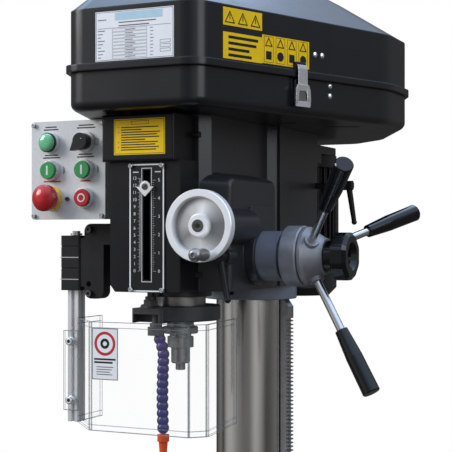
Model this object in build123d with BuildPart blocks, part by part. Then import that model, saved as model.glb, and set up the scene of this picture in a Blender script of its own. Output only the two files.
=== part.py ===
"""Floor-standing pillar drill with belt drive, coolant line, chuck guard and power panel.

Frame: the column axis is X = Y = 0 and the floor is Z = 0, in millimetres. The operator stands
on the -Y side, and +X is the operator's right hand.
"""
import os
from math import cos, pi, radians, sin

from build123d import *

os.makedirs("parts", exist_ok=True)

# ---- driving dimensions -------------------------------------------------------------------
RUN = 0.05            # radial clearance of a running fit
GAP = 0.3             # clearance between bodies that only pass each other

COLUMN_D = 115
COLUMN_WALL = 8
COLUMN_TOP = 1500
BASE_W, BASE_H = 430, 60
BASE_FRONT, BASE_REAR = -430, 190
FLANGE_H = 115        # height of the column socket above the base

SPINDLE_Y = -257      # throat: spindle axis in front of the column axis
QUILL_D = 75
QUILL_BOTTOM = 1256
QUILL_TOP = 1545

HEAD_BOTTOM = 1302
HEAD_TOP = 1555.5
HEAD_FRONT = -302
HEAD_HALF = 66        # half width of the front part of the head
REAR_HALF = 80        # half width of the part around the column
REAR_END = 118

FEED_Y, FEED_Z = SPINDLE_Y + 50, 1352    # cross shaft of the quill feed
PINION_MODULE, PINION_TEETH = 1.5, 22
WORM_X, WORM_Z = 92, 1395                # fine feed shaft, along Y
HOUSING_X = 98                           # right face of the feed gearbox

LIFT_MODULE, LIFT_TEETH = 2, 20          # table lift rack and pinion
TABLE_TOP = 760
TABLE_W = 440
TABLE_FRONT, TABLE_REAR = -480, -92
TABLE_THICK = 38
TILT_Z = 630                             # table tilt axis, along Y
CRANK_ARM = 105

RACK_FACE = 68                           # root plane of the column rack
RACK_TIP = 72.5
RACK_HALF = 10.5
RACK_BOTTOM, RACK_TOP = 205, 1277.5

MOTOR_Y = 205
CASE_BOTTOM, CASE_RIM, CASE_RIM_H = HEAD_TOP, 1610, 10
CASE_SHOULDER, CASE_TOP = 1697, 1763

PANEL_X0, PANEL_X1 = -233, -103
PANEL_Z0, PANEL_Z1 = 1406, 1554.5
PANEL_Y = -300
SCREW_IN = 5.5                           # panel screws from the panel's edges
BUTTON_PLACES = {"green_button_left": (-197, 1480), "green_button_right": (-137, 1480),
                 "red_button": (-137, 1438)}
SELECTOR_PLACE, LAMP_PLACE, STOP_PLACE = (-136, 1522), (-198, 1522), (-196, 1438)
KEY_PLACE = (-168, 1437)
BUTTON_R, BEZEL_R = 13, 15.6

LOCK_X, LOCK_Z = 92, 1352                # quill lock lever
SLIDE_X, SLIDE_Z = 60, 1520              # motor slide bars
IDLER_Y = -30
GLAND_X, GLAND_Z = -150, 1440            # cable gland on the back of the control box
GUARD_AXIS = (-183, -252)
GUARD_Z0, GUARD_Z1 = 1098, 1256
GUARD_THICK = 4
GUARD_SCREWS = [(-149, 1294), (-149, 1391)]

ARM_X, ARM_LEAN = 177.6, 30.3            # where the capstan arms' axes meet, and their lean
ARM_ANGLES = (140, 20, 260)
KNOB_X, KNOB_Z = 105, 1356               # handle on the handwheel
ROD_X, ROD_Y = -20, -312                 # depth rod
POINTER_Z = 1450

STEP_H = 24                              # one pulley step
PULLEY_Z = 1578
SPINDLE_STEPS = (66, 56, 46, 36)
IDLER_STEPS = (40, 50, 60, 70)
MOTOR_STEPS = (60, 52, 44, 36)
SPINDLE_LEVEL, MOTOR_LEVEL = 2, 1

HINGE_X, HINGE_Y, HINGE_Z = 45, 355, 1611.5    # lid hinge axis
LATCH_Z = 1582
CASE_FRONT = (104, -413)                 # plan corners at the ends of the case's right side
CASE_WIDE = (252, -20)
SIDE_SPAN = (CASE_WIDE[0] - CASE_FRONT[0], CASE_WIDE[1] - CASE_FRONT[1])
side_length = (SIDE_SPAN[0] ** 2 + SIDE_SPAN[1] ** 2) ** 0.5
SIDE_DIR = (SIDE_SPAN[0] / side_length, SIDE_SPAN[1] / side_length)
SIDE_X, SIDE_Y = [CASE_FRONT[i] + 0.49 * SIDE_SPAN[i] for i in (0, 1)]    # latch's place

NOZZLE_TOP = 1101
HOSE_TOP = 1239
HOSE_BALLS = 13

lift_pitch = pi * LIFT_MODULE
lift_radius = LIFT_MODULE * LIFT_TEETH / 2
lift_x = RACK_TIP - LIFT_MODULE + lift_radius
lift_z = TABLE_TOP - 125
pinion_radius = PINION_MODULE * PINION_TEETH / 2
quill_r = QUILL_D / 2
column_r = COLUMN_D / 2
panel_corners = [(x, z) for x in (PANEL_X0 + SCREW_IN, PANEL_X1 - SCREW_IN)
                 for z in (PANEL_Z0 + SCREW_IN, PANEL_Z1 - SCREW_IN)]


# ---- small helpers ------------------------------------------------------------------------
def front_plane(y, x=0, z=0):
    """A plane at Y = y that looks at the operator: sketch x is +X, y is +Z, extrusion is -Y."""
    return Plane(origin=(x, y, z), x_dir=(1, 0, 0), z_dir=(0, -1, 0))


def right_plane(x, y=0, z=0):
    """A plane at X = x that looks right: sketch x is +Y, y is +Z, extrusion is +X."""
    return Plane(origin=(x, y, z), x_dir=(0, 1, 0), z_dir=(1, 0, 0))


def rod(start, end, radius, mode=Mode.ADD, top=None):
    """A round bar, or a cone when top is given, from start to end in the active part."""
    axis = Vector(*end) - Vector(*start)
    low = (Align.CENTER, Align.CENTER, Align.MIN)
    with Locations(Plane(origin=start, z_dir=axis).location):
        if top is None:
            Cylinder(radius, axis.length, align=low, mode=mode)
        else:
            Cone(radius, top, axis.length, align=low, mode=mode)


def block(x, y, z, mode=Mode.ADD):
    """A box between the limits x, y and z in the active part."""
    with Locations((x[0], y[0], z[0])):
        Box(x[1] - x[0], y[1] - y[0], z[1] - z[0], align=(Align.MIN,) * 3, mode=mode)


def gear_points(teeth, module, phase=0.0):
    """Outline of a straight-flanked spur gear with backlash; phase turns it, in tooth pitches."""
    root = module * (teeth / 2 - 1.2)
    tip = module * (teeth / 2 + 0.9)
    points = []
    for tooth in range(teeth):
        for offset, radius in ((-0.29, root), (-0.11, tip), (0.11, tip), (0.29, root)):
            angle = 2 * pi * (tooth + phase + offset) / teeth
            points.append((radius * cos(angle), radius * sin(angle)))
    return points


def rack_points(count, pitch, depth, first):
    """Corners of a row of rack teeth as (distance along, height above the root)."""
    points = []
    for tooth in range(count):
        centre = first + tooth * pitch
        points += [(centre - 0.29 * pitch, 0), (centre - 0.13 * pitch, depth)]
        points += [(centre + 0.13 * pitch, depth), (centre + 0.29 * pitch, 0)]
    return points


def case_points(inset):
    """Plan corners of the belt case, moved inwards by inset."""
    right = [
        (CASE_FRONT[0] - 0.7 * inset, CASE_FRONT[1] + inset),
        (CASE_WIDE[0] - inset, CASE_WIDE[1]),
        (252 - inset, 75 - 0.2 * inset),
        (158 - 0.9 * inset, 268 - 0.6 * inset),
        (80 - 0.5 * inset, 345 - inset),
    ]
    return right + [(-x, y) for x, y in reversed(right)]


def case_top_points(inset):
    """Plan corners of the lid's flat top, moved inwards by inset."""
    right = [
        (47 - 0.7 * inset, -342 + inset),
        (140 - inset, -28),
        (140 - inset, 58 - 0.2 * inset),
        (96 - 0.9 * inset, 200 - 0.6 * inset),
        (46 - 0.5 * inset, 262 - inset),
    ]
    return right + [(-x, y) for x, y in reversed(right)]


CASE_RADII = [34, 110, 90, 80, 40, 40, 80, 90, 110, 34]
TOP_RADII = [0.6 * radius for radius in CASE_RADII]


# ---- base, column and table ---------------------------------------------------------------
def make_base_plate():
    """Cast foot with a ribbed underside, a machined work face with two T-slots, and four holes."""
    length = BASE_REAR - BASE_FRONT
    middle = (BASE_REAR + BASE_FRONT) / 2
    with BuildPart() as base_plate:
        with BuildSketch(Plane.XY):
            with Locations((0, middle)):
                RectangleRounded(BASE_W, length, 38)
        extrude(amount=BASE_H - 6)
        chamfer(base_plate.faces().sort_by(Axis.Z)[-1].edges(), length=5)
        with BuildSketch(Plane.XY):
            with Locations((0, middle)):
                RectangleRounded(BASE_W - 36, length - 36, 24)
            Rectangle(18, 2 * length, mode=Mode.SUBTRACT)
            for y in (-250, -90):
                with Locations((0, y)):
                    Rectangle(2 * BASE_W, 16, mode=Mode.SUBTRACT)
            with Locations([(x, y) for x in (-178, 178) for y in (-393, 153)]):
                Circle(24, mode=Mode.SUBTRACT)
            Circle(125, mode=Mode.SUBTRACT)
        extrude(amount=BASE_H - 34, mode=Mode.SUBTRACT)
        with BuildSketch(Plane.XY.offset(BASE_H - 6)):
            with Locations((0, -262)):
                RectangleRounded(360, 250, 8)
            Circle(135)
        extrude(amount=6)
        for x in (-85, 85):
            block((x - 7, x + 7), (-390, -134), (BASE_H - 12, BASE_H + 1), Mode.SUBTRACT)
            block((x - 12, x + 12), (-390, -134), (BASE_H - 21, BASE_H - 12), Mode.SUBTRACT)
        for x in (-178, 178):
            for y in (-393, 153):
                rod((x, y, 0), (x, y, BASE_H), 8, Mode.SUBTRACT)
                rod((x, y, BASE_H - 10), (x, y, BASE_H), 15, Mode.SUBTRACT)
        for angle in range(45, 360, 90):
            x, y = 102 * cos(radians(angle)), 102 * sin(radians(angle))
            rod((x, y, 22), (x, y, BASE_H), 8, Mode.SUBTRACT)
    base_plate.part.label = "base_plate"
    export_step(base_plate.part, "parts/base_plate.step")


def make_column_flange():
    """Cast socket that carries the column, with its bolt flange and the lower rack rest."""
    top = BASE_H + FLANGE_H
    with BuildPart() as column_flange:
        with BuildSketch(Plane.XZ):
            with BuildLine():
                Polyline((column_r, BASE_H), (128, BASE_H), (128, BASE_H + 20), (96, BASE_H + 27),
                         (84, BASE_H + 44), (79, top - 6), (74, top), (column_r, top), close=True)
            make_face()
        revolve(axis=Axis.Z)
        for angle in range(45, 360, 90):
            x, y = 102 * cos(radians(angle)), 102 * sin(radians(angle))
            rod((x, y, BASE_H - 1), (x, y, BASE_H + 40), 9, Mode.SUBTRACT)
            rod((x, y, BASE_H + 20), (x, y, BASE_H + 40), 17, Mode.SUBTRACT)
    column_flange.part.label = "column_flange"
    export_step(column_flange.part, "parts/column_flange.step")


def make_flange_bolts():
    """Four hexagon bolts that hold the socket to the base."""
    with BuildPart() as flange_bolts:
        for angle in range(45, 360, 90):
            x, y = 102 * cos(radians(angle)), 102 * sin(radians(angle))
            with BuildSketch(Plane.XY.offset(BASE_H + 20)):
                with Locations((x, y)):
                    RegularPolygon(13.8, 6)
            extrude(amount=10)
            rod((x, y, 24), (x, y, BASE_H + 20), 8)
    flange_bolts.part.label = "flange_bolts"
    export_step(flange_bolts.part, "parts/flange_bolts.step")


def make_column_tube():
    """Ground steel column."""
    with BuildPart() as column_tube:
        with BuildSketch(Plane.XY.offset(BASE_H)):
            Circle(column_r)
            Circle(column_r - COLUMN_WALL, mode=Mode.SUBTRACT)
        extrude(amount=COLUMN_TOP - BASE_H)
    column_tube.part.label = "column_tube"
    export_step(column_tube.part, "parts/column_tube.step")


def make_table_rack():
    """Rack that swings round the column with the table, toothed towards +X, with bevelled ends."""
    below = int((lift_z - RACK_BOTTOM - 35) / lift_pitch)
    above = int((RACK_TOP - 32 - lift_z) / lift_pitch)
    first = lift_z - (below - 0.5) * lift_pitch
    teeth = rack_points(below + above, lift_pitch, RACK_TIP - RACK_FACE, first)
    back = column_r + GAP
    with BuildPart() as table_rack:
        with BuildSketch(front_plane(RACK_HALF)):
            with BuildLine():
                Polyline((back, RACK_BOTTOM), (RACK_FACE - 4, RACK_BOTTOM),
                         (RACK_TIP, RACK_BOTTOM + 12), (RACK_TIP, teeth[0][0] - 3),
                         (RACK_FACE, teeth[0][0] - 2), *[(RACK_FACE + up, z) for z, up in teeth],
                         (RACK_FACE, teeth[-1][0] + 2), (RACK_TIP, teeth[-1][0] + 3),
                         (RACK_TIP, RACK_TOP - 12), (RACK_FACE - 4, RACK_TOP), (back, RACK_TOP),
                         close=True)
            make_face()
        extrude(amount=2 * RACK_HALF)
    table_rack.part.label = "table_rack"
    export_step(table_rack.part, "parts/table_rack.step")


def make_rack_collar():
    """Ring under the head that keeps the top of the rack against the column."""
    with BuildPart() as rack_collar:
        with BuildSketch(Plane.XY.offset(RACK_TOP + 0.5)):
            Circle(76.7)
            Circle(column_r, mode=Mode.SUBTRACT)
        extrude(amount=HEAD_BOTTOM - RACK_TOP - 0.5)
        chamfer(rack_collar.edges().filter_by(GeomType.CIRCLE).sort_by(Axis.Z)[:2].sort_by(
            SortBy.RADIUS)[-1:], length=1.5)
        rod((0, -60, 1290), (0, -80, 1290), 4, Mode.SUBTRACT)
    rack_collar.part.label = "rack_collar"
    export_step(rack_collar.part, "parts/rack_collar.step")


def make_table_bracket():
    """Split bracket that slides on the column, with the lift gearbox and the tilt boss."""
    low, high = TABLE_TOP - 160, TABLE_TOP - 14
    with BuildPart() as table_bracket:
        with BuildSketch(Plane.XY.offset(low)):
            Circle(83)
            with Locations((0, -98)):
                Rectangle(104, 56)
            with Locations((-92, 0)):
                Rectangle(52, 52)
        extrude(amount=high - low)
        with BuildSketch(front_plane(-70, 0, TILT_Z)):
            Circle(58)
        extrude(amount=60)
        block((-70, 70), (-140, -84), (TILT_Z + 40, high + 1), Mode.SUBTRACT)
        block((60, 130), (-34, 34), (lift_z - 52, lift_z + 40))
        fillet(table_bracket.edges().filter_by(Axis.Z).sort_by(Axis.X)[-2:], radius=8)
        rod((0, 0, low - 60), (0, 0, high + 60), column_r + RUN, Mode.SUBTRACT)
        block((50, RACK_TIP + GAP), (-RACK_HALF - GAP, RACK_HALF + GAP), (low - 60, high + 60),
              Mode.SUBTRACT)
        block((-125, -50), (-2, 2), (low - 60, high + 60), Mode.SUBTRACT)
        rod((lift_x, -14, lift_z), (lift_x, 14, lift_z), lift_radius + 4, Mode.SUBTRACT)
        rod((lift_x, -30, lift_z), (lift_x, 30, lift_z), 6 + RUN, Mode.SUBTRACT)
        rod((lift_x - 24, 0, lift_z - 36), (140, 0, lift_z - 36), 13.5, Mode.SUBTRACT)
        for z in (low + 30, high - 30):
            rod((-104, -40, z), (-104, 40, z), 6.2, Mode.SUBTRACT)
        rod((0, -40, TILT_Z), (0, -150, TILT_Z), 15 + RUN, Mode.SUBTRACT)
    table_bracket.part.label = "table_bracket"
    export_step(table_bracket.part, "parts/table_bracket.step")


def make_table_arm():
    """Tilting arm: a disc and trunnion on the bracket, and a pad bolted under the table."""
    under = TABLE_TOP - TABLE_THICK
    with BuildPart() as table_arm:
        rod((0, -130.5, TILT_Z), (0, -154, TILT_Z), 58)
        rod((0, -150, TILT_Z), (0, -62, TILT_Z), 15)
        with BuildSketch(right_plane(-26)):
            with BuildLine():
                Polyline((-140, TILT_Z - 50), (-154, TILT_Z - 50), (-330, under - 30),
                         (-330, under - 4), (-135, under - 4), (-135, TILT_Z + 20),
                         (-140, TILT_Z + 20), close=True)
            make_face()
        extrude(amount=52)
        with BuildSketch(Plane.XY.offset(under - 26)):
            with Locations((0, -272)):
                RectangleRounded(180, 170, 20)
        extrude(amount=26)
        rod((0, SPINDLE_Y, TILT_Z - 80), (0, SPINDLE_Y, under + 1), 17, Mode.SUBTRACT)
        for x in (-70, 70):
            for y in (-335, -209):
                rod((x, y, under - 40), (x, y, under + 1), 6.5, Mode.SUBTRACT)
    table_arm.part.label = "table_arm"
    export_step(table_arm.part, "parts/table_arm.step")


def make_table_top():
    """Cast table with a coolant channel round a machined face, T-slots and a centre hole."""
    depth = TABLE_REAR - TABLE_FRONT
    middle = (TABLE_REAR + TABLE_FRONT) / 2
    under = TABLE_TOP - TABLE_THICK
    with BuildPart() as table_top:
        with BuildSketch(Plane.XY.offset(under)):
            with Locations((0, middle)):
                RectangleRounded(TABLE_W, depth, 22)
        extrude(amount=TABLE_THICK)
        with BuildSketch(Plane.XY.offset(TABLE_TOP)):
            with Locations((0, middle)):
                RectangleRounded(TABLE_W - 16, depth - 16, 15)
                RectangleRounded(TABLE_W - 58, depth - 58, 8, mode=Mode.SUBTRACT)
        extrude(amount=-10, mode=Mode.SUBTRACT)
        for x in (-95, 95):
            block((x - 7, x + 7), (TABLE_FRONT + 20, TABLE_REAR - 20),
                  (TABLE_TOP - 12, TABLE_TOP + 1), Mode.SUBTRACT)
            block((x - 12, x + 12), (TABLE_FRONT + 20, TABLE_REAR - 20),
                  (TABLE_TOP - 21, TABLE_TOP - 12), Mode.SUBTRACT)
        rod((0, SPINDLE_Y, under - 1), (0, SPINDLE_Y, TABLE_TOP + 1), 14, Mode.SUBTRACT)
        rod((190, -465, under - 12), (190, -465, under), 11)
        rod((190, -465, under - 13), (190, -465, TABLE_TOP), 6, Mode.SUBTRACT)
        for x in (-70, 70):
            for y in (-335, -209):
                rod((x, y, under - 36), (x, y, under + 14), 6)
                with BuildSketch(Plane.XY.offset(under - 36)):
                    with Locations((x, y)):
                        RegularPolygon(10.5, 6)
                extrude(amount=9)
    table_top.part.label = "table_top"
    export_step(table_top.part, "parts/table_top.step")


def make_lift_gear():
    """Gear inside the bracket that climbs the rack, with its axle."""
    with BuildPart() as lift_gear:
        with BuildSketch(front_plane(9, lift_x, lift_z)):
            Polygon(*gear_points(LIFT_TEETH, LIFT_MODULE), align=None)
        extrude(amount=18)
        rod((lift_x, -27, lift_z), (lift_x, 27, lift_z), 6)
    lift_gear.part.label = "lift_gear"
    export_step(lift_gear.part, "parts/lift_gear.step")


def make_table_crank():
    """Crank of the table lift: shaft with worm rings, hub and arm."""
    axis_z = lift_z - 36
    with BuildPart() as table_crank:
        rod((RACK_TIP + 1, 0, axis_z), (168, 0, axis_z), 9)
        for ring in range(7):
            x = RACK_TIP + 2 + ring * lift_pitch
            rod((x, 0, axis_z), (x + 2.6, 0, axis_z), 12.6)
        rod((132, 0, axis_z), (140, 0, axis_z), 16)
        rod((158, 0, axis_z), (184, 0, axis_z), 15)
        with BuildSketch(right_plane(168, 0, axis_z)):
            with BuildLine():
                Polyline((-12, 0), (-8, -CRANK_ARM), (8, -CRANK_ARM), (12, 0), close=True)
            make_face()
            Circle(15)
            with Locations((0, -CRANK_ARM)):
                Circle(11)
        extrude(amount=10)
        rod((170, 0, axis_z - CRANK_ARM), (268, 0, axis_z - CRANK_ARM), 5)
        rod((262, 0, axis_z - CRANK_ARM), (268, 0, axis_z - CRANK_ARM), 8)
    table_crank.part.label = "table_crank"
    export_step(table_crank.part, "parts/table_crank.step")


def make_crank_grip():
    """Turning grip on the table crank."""
    with BuildPart() as crank_grip:
        with BuildSketch(Plane(origin=(179, 0, lift_z - 36 - CRANK_ARM), x_dir=(0, 0, 1), z_dir=(0, -1, 0))):
            with BuildLine():
                l1 = Line((5 + RUN, 0), (10, 0))
                l2 = Spline(l1 @ 1, (14, -30), (12.5, -60), (11, -82))
                Polyline(l2 @ 1, (5 + RUN, -82), (5 + RUN, 0))
            make_face()
        revolve(axis=Axis((179, 0, lift_z - 36 - CRANK_ARM), (1, 0, 0)))
    crank_grip.part.label = "crank_grip"
    export_step(crank_grip.part, "parts/crank_grip.step")


def make_table_clamp_lever():
    """Clamp bolt through the bracket ears with its ratchet lever and ball end."""
    z = TABLE_TOP - 44
    with BuildPart() as table_clamp_lever:
        rod((-104, -60, z), (-104, 38, z), 6)
        rod((-104, -58, z), (-104, -26.5, z), 11)
        rod((-104, 26.5, z), (-104, 35, z), 10)
        rod((-104, -44, z), (-172, -79, z + 22.7), 5.5)
        with Locations(Plane(origin=(-172, -79, z + 22.7), z_dir=(-68, -35, 22.7)).location):
            Sphere(12)
    table_clamp_lever.part.label = "table_clamp_lever"
    export_step(table_clamp_lever.part, "parts/table_clamp_lever.step")


# ---- head, quill and spindle --------------------------------------------------------------
def make_head_casting():
    """Head: quill housing in front, feed gearbox on the right, column socket behind."""
    with BuildPart() as head_casting:
        with BuildSketch(Plane.XY.offset(HEAD_BOTTOM)):
            with BuildLine():
                Polyline((-52, HEAD_FRONT), (52, HEAD_FRONT), (HEAD_HALF, -288), (HEAD_HALF, -86),
                         (REAR_HALF, -72), (REAR_HALF, REAR_END - 16), (64, REAR_END),
                         (-64, REAR_END), (-REAR_HALF, REAR_END - 16), (-REAR_HALF, -72),
                         (-HEAD_HALF, -86), (-HEAD_HALF, -288), close=True)
            make_face()
        extrude(amount=HEAD_TOP - HEAD_BOTTOM)
        with BuildSketch(right_plane(50, -208, 1364)):
            RectangleRounded(188, 226, 26)
        extrude(amount=HOUSING_X - 50, taper=14)
        fillet(head_casting.faces().sort_by(Axis.X)[-1].edges(), radius=8)
        block((49, HOUSING_X + 1), (-303, -113), (1240, HEAD_BOTTOM), Mode.SUBTRACT)
        block((HEAD_HALF - 4, 84), (-74, -40), (HEAD_BOTTOM, HEAD_TOP))
        rod((WORM_X, -233, WORM_Z), (WORM_X, -352, WORM_Z), 27)
        rod((LOCK_X, -280, LOCK_Z), (LOCK_X, -304, LOCK_Z), 11)
        rod((HEAD_HALF, FEED_Y, FEED_Z), (114, FEED_Y, FEED_Z), 43)
        with BuildSketch(right_plane(HOUSING_X - 6, -193, 1401)):
            RectangleRounded(88, 46, 5)
        extrude(amount=13)
        rod((0, SPINDLE_Y, HEAD_BOTTOM), (0, SPINDLE_Y, HEAD_BOTTOM - 9), 46)
        # bores and cavities
        rod((0, SPINDLE_Y, HEAD_BOTTOM - 20), (0, SPINDLE_Y, HEAD_TOP + 1), quill_r + RUN,
            Mode.SUBTRACT)
        rod((0, 0, HEAD_BOTTOM - 1), (0, 0, COLUMN_TOP), column_r, Mode.SUBTRACT)
        block((-46, 46), (-176, -84), (HEAD_BOTTOM + 16, HEAD_TOP + 1), Mode.SUBTRACT)
        block((-15, 15), (-230, -170), (FEED_Z - 22, FEED_Z + 22), Mode.SUBTRACT)
        rod((-HEAD_HALF - 1, FEED_Y, FEED_Z), (120, FEED_Y, FEED_Z), 12.5 + RUN, Mode.SUBTRACT)
        rod((85, FEED_Y, FEED_Z), (99, FEED_Y, FEED_Z), 34, Mode.SUBTRACT)
        rod((WORM_X, -353, WORM_Z), (WORM_X, -160, WORM_Z), 10 + RUN, Mode.SUBTRACT)
        rod((LOCK_X, -305, LOCK_Z), (LOCK_X, -276, LOCK_Z), 5 + RUN, Mode.SUBTRACT)
        rod((0, IDLER_Y, COLUMN_TOP + 4), (0, IDLER_Y, HEAD_TOP + 1), 10 + RUN, Mode.SUBTRACT)
        rod((REAR_HALF + 1, 96, 1467), (50, 96, 1467), 5 + RUN, Mode.SUBTRACT)
        for x in (-SLIDE_X, SLIDE_X):
            rod((x, 70, SLIDE_Z), (x, REAR_END + 1, SLIDE_Z), 8, Mode.SUBTRACT)
    head_casting.part.label = "head_casting"
    export_step(head_casting.part, "parts/head_casting.step")


def make_quill():
    """Quill sleeve with bearing seats and rack teeth milled along its back."""
    pitch = pi * PINION_MODULE
    root_y = SPINDLE_Y + 35 - 3.4
    teeth = rack_points(38, pitch, 3.4, FEED_Z - 5.5 * pitch)
    with BuildPart() as quill:
        rod((0, SPINDLE_Y, QUILL_BOTTOM), (0, SPINDLE_Y, QUILL_TOP), quill_r)
        rod((0, SPINDLE_Y, QUILL_BOTTOM), (0, SPINDLE_Y, QUILL_TOP), 18, Mode.SUBTRACT)
        rod((0, SPINDLE_Y, QUILL_BOTTOM), (0, SPINDLE_Y, QUILL_BOTTOM + 20), 26, Mode.SUBTRACT)
        rod((0, SPINDLE_Y, QUILL_TOP - 20), (0, SPINDLE_Y, QUILL_TOP), 24, Mode.SUBTRACT)
        with BuildSketch(right_plane(-16)):
            with BuildLine():
                Polyline((SPINDLE_Y + 40, teeth[0][0] - 2), (root_y, teeth[0][0] - 2),
                         *[(root_y + up, z) for z, up in teeth],
                         (root_y, teeth[-1][0] + 2), (SPINDLE_Y + 40, teeth[-1][0] + 2),
                         close=True)
            make_face()
        extrude(amount=32, mode=Mode.SUBTRACT)
    quill.part.label = "quill"
    export_step(quill.part, "parts/quill.step")


def make_spindle():
    """Spindle: nose with ring and hexagon, tapered socket, bearing journals and driven end."""
    with BuildPart() as spindle:
        with BuildSketch(Plane.XZ.offset(-SPINDLE_Y)):
            with BuildLine():
                Polyline((0, 1217), (16, 1217), (16, 1238), (25, 1238), (26, 1239), (26, 1247),
                         (25, 1248), (20, 1248), (20, 1255), (16, 1255), (16, 1300), (12.5, 1302),
                         (12.5, 1560), (10, 1562), (10, 1722), (0, 1722), close=True)
            make_face()
        revolve(axis=Axis((0, SPINDLE_Y, 0), (0, 0, 1)))
        with BuildSketch(Plane.XY.offset(1218)):
            with Locations((0, SPINDLE_Y)):
                RegularPolygon(22, 6)
                Circle(20.5, mode=Mode.INTERSECT)
        extrude(amount=15)
        rod((0, SPINDLE_Y, 1217), (0, SPINDLE_Y, 1290), 11.9, Mode.SUBTRACT, top=10)
    spindle.part.label = "spindle"
    export_step(spindle.part, "parts/spindle.step")


def make_spindle_bearings():
    """Ball bearings at both ends of the quill, as plain rings."""
    with BuildPart() as spindle_bearings:
        for low, inner, outer in ((QUILL_BOTTOM + 1, 16, 26), (QUILL_TOP - 19, 12.5, 24)):
            with BuildSketch(Plane.XY.offset(low)):
                with Locations((0, SPINDLE_Y)):
                    Circle(outer)
                    Circle(inner + RUN, mode=Mode.SUBTRACT)
            extrude(amount=18)
    spindle_bearings.part.label = "spindle_bearings"
    export_step(spindle_bearings.part, "parts/spindle_bearings.step")


def make_arbor():
    """Taper arbor with the short stub that takes a drill chuck."""
    with BuildPart() as arbor:
        rod((0, SPINDLE_Y, 1184), (0, SPINDLE_Y, 1195), 7.25)
        chamfer(arbor.faces().sort_by(Axis.Z)[0].edges(), length=0.6)
        rod((0, SPINDLE_Y, 1194), (0, SPINDLE_Y, 1196), 12.4, top=13.8)
        rod((0, SPINDLE_Y, 1196), (0, SPINDLE_Y, 1217), 13.8)
        rod((0, SPINDLE_Y, 1217), (0, SPINDLE_Y, 1280), 11.85, top=10.2)
    arbor.part.label = "arbor"
    export_step(arbor.part, "parts/arbor.step")


def make_quill_collar():
    """Clamp collar on the quill with the block that holds the depth rod and the coolant line."""
    with BuildPart() as quill_collar:
        rod((0, SPINDLE_Y, 1258), (0, SPINDLE_Y, 1280), 59)
        chamfer(quill_collar.edges().filter_by(GeomType.CIRCLE), length=1.5)
        block((-47, 5), (-322, -270), (1256, 1277))
        fillet(quill_collar.edges().filter_by(Axis.Z).group_by(Axis.Y)[0], radius=5)
        rod((0, SPINDLE_Y, 1255), (0, SPINDLE_Y, 1281), quill_r, Mode.SUBTRACT)
        block((-43, -3), (-323, -303), (1255, 1268.5), Mode.SUBTRACT)
        block((-1.5, 1.5), (SPINDLE_Y + 30, SPINDLE_Y + 60), (1255, 1281), Mode.SUBTRACT)
        rod((ROD_X, ROD_Y, 1270), (ROD_X, ROD_Y, 1281), 5, Mode.SUBTRACT)
    quill_collar.part.label = "quill_collar"
    export_step(quill_collar.part, "parts/quill_collar.step")


def make_depth_rod():
    """Dark round rod with its lock nut, which carries the pointer inside the scale housing."""
    with BuildPart() as depth_rod:
        rod((ROD_X, ROD_Y, 1270), (ROD_X, ROD_Y, 1470), 5)
        with BuildSketch(Plane.XY.offset(1280)):
            with Locations((ROD_X, ROD_Y)):
                RegularPolygon(11.5, 6)
        extrude(amount=9)
        rod((ROD_X, ROD_Y, 1289), (ROD_X, ROD_Y, 1294), 8)
    depth_rod.part.label = "depth_rod"
    export_step(depth_rod.part, "parts/depth_rod.step")


def make_depth_pointer():
    """Pointer: a clamp on the rod, a neck through the slot and an arrow in front of the scale."""
    with BuildPart() as depth_pointer:
        rod((ROD_X, ROD_Y, POINTER_Z - 7), (ROD_X, ROD_Y, POINTER_Z + 7), 9)
        block((ROD_X, 4), (-324, ROD_Y), (POINTER_Z - 3, POINTER_Z + 3))
        block((-4, 4), (-364, -318), (POINTER_Z - 3, POINTER_Z + 3))
        rod((ROD_X, ROD_Y, POINTER_Z - 8), (ROD_X, ROD_Y, POINTER_Z + 8), 5, Mode.SUBTRACT)
        with BuildSketch(front_plane(-364, 0, POINTER_Z)):
            Circle(8)
            with BuildLine():
                Polyline((-14, 0), (14, 0), (0, -14), close=True)
            make_face()
        extrude(amount=2)
    depth_pointer.part.label = "depth_pointer"
    export_step(depth_pointer.part, "parts/depth_pointer.step")


def make_scale_housing():
    """Moulded box on the front of the head: depth scale below, proud label block above."""
    with BuildPart() as scale_housing:
        with BuildSketch(front_plane(HEAD_FRONT)):
            with BuildLine():
                Polyline((-60, 1312), (-52, HEAD_BOTTOM), (52, HEAD_BOTTOM), (52, 1488),
                         (-60, 1488), close=True)
            make_face()
        extrude(amount=57)
        with BuildSketch(front_plane(HEAD_FRONT)):
            with BuildLine():
                Polyline((-69, 1486), (46, 1486), (46, 1552), (-69, 1552), close=True)
            make_face()
        extrude(amount=65)
        fillet(scale_housing.faces().sort_by(Axis.Y)[0].edges(), radius=3)
        block((-54, 46), (-355.5, HEAD_FRONT + 1), (1306, 1482), Mode.SUBTRACT)
        block((-63, 40), (-362, HEAD_FRONT + 1), (1490, 1548), Mode.SUBTRACT)
        block((-7, 7), (-360, -350), (1316, 1475), Mode.SUBTRACT)
        block((ROD_X - 9, ROD_X + 9), (ROD_Y - 9, HEAD_FRONT + 1), (HEAD_BOTTOM - 1, 1310),
              Mode.SUBTRACT)
        for z in (1325, 1525):
            rod((40, -308, z), (53, -308, z), 2.5, Mode.SUBTRACT)
        for x in (-24.5, 24.5):
            for z in (1305.5, 1479.5):
                rod((x, -352, z), (x, -360, z), 1.6, Mode.SUBTRACT)
    scale_housing.part.label = "scale_housing"
    export_step(scale_housing.part, "parts/scale_housing.step")


def make_scale_plate():
    """Depth scale plate with its slot."""
    with BuildPart() as scale_plate:
        with BuildSketch(front_plane(-359, 0, 1392.5)):
            RectangleRounded(56, 181, 3)
            with Locations((0, 4)):
                Rectangle(11, 154, mode=Mode.SUBTRACT)
            with Locations([(x, z) for x in (-24.5, 24.5) for z in (-87, 87)]):
                Circle(1.6, mode=Mode.SUBTRACT)
        extrude(amount=1.5)
    scale_plate.part.label = "scale_plate"
    export_step(scale_plate.part, "parts/scale_plate.step")


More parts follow.
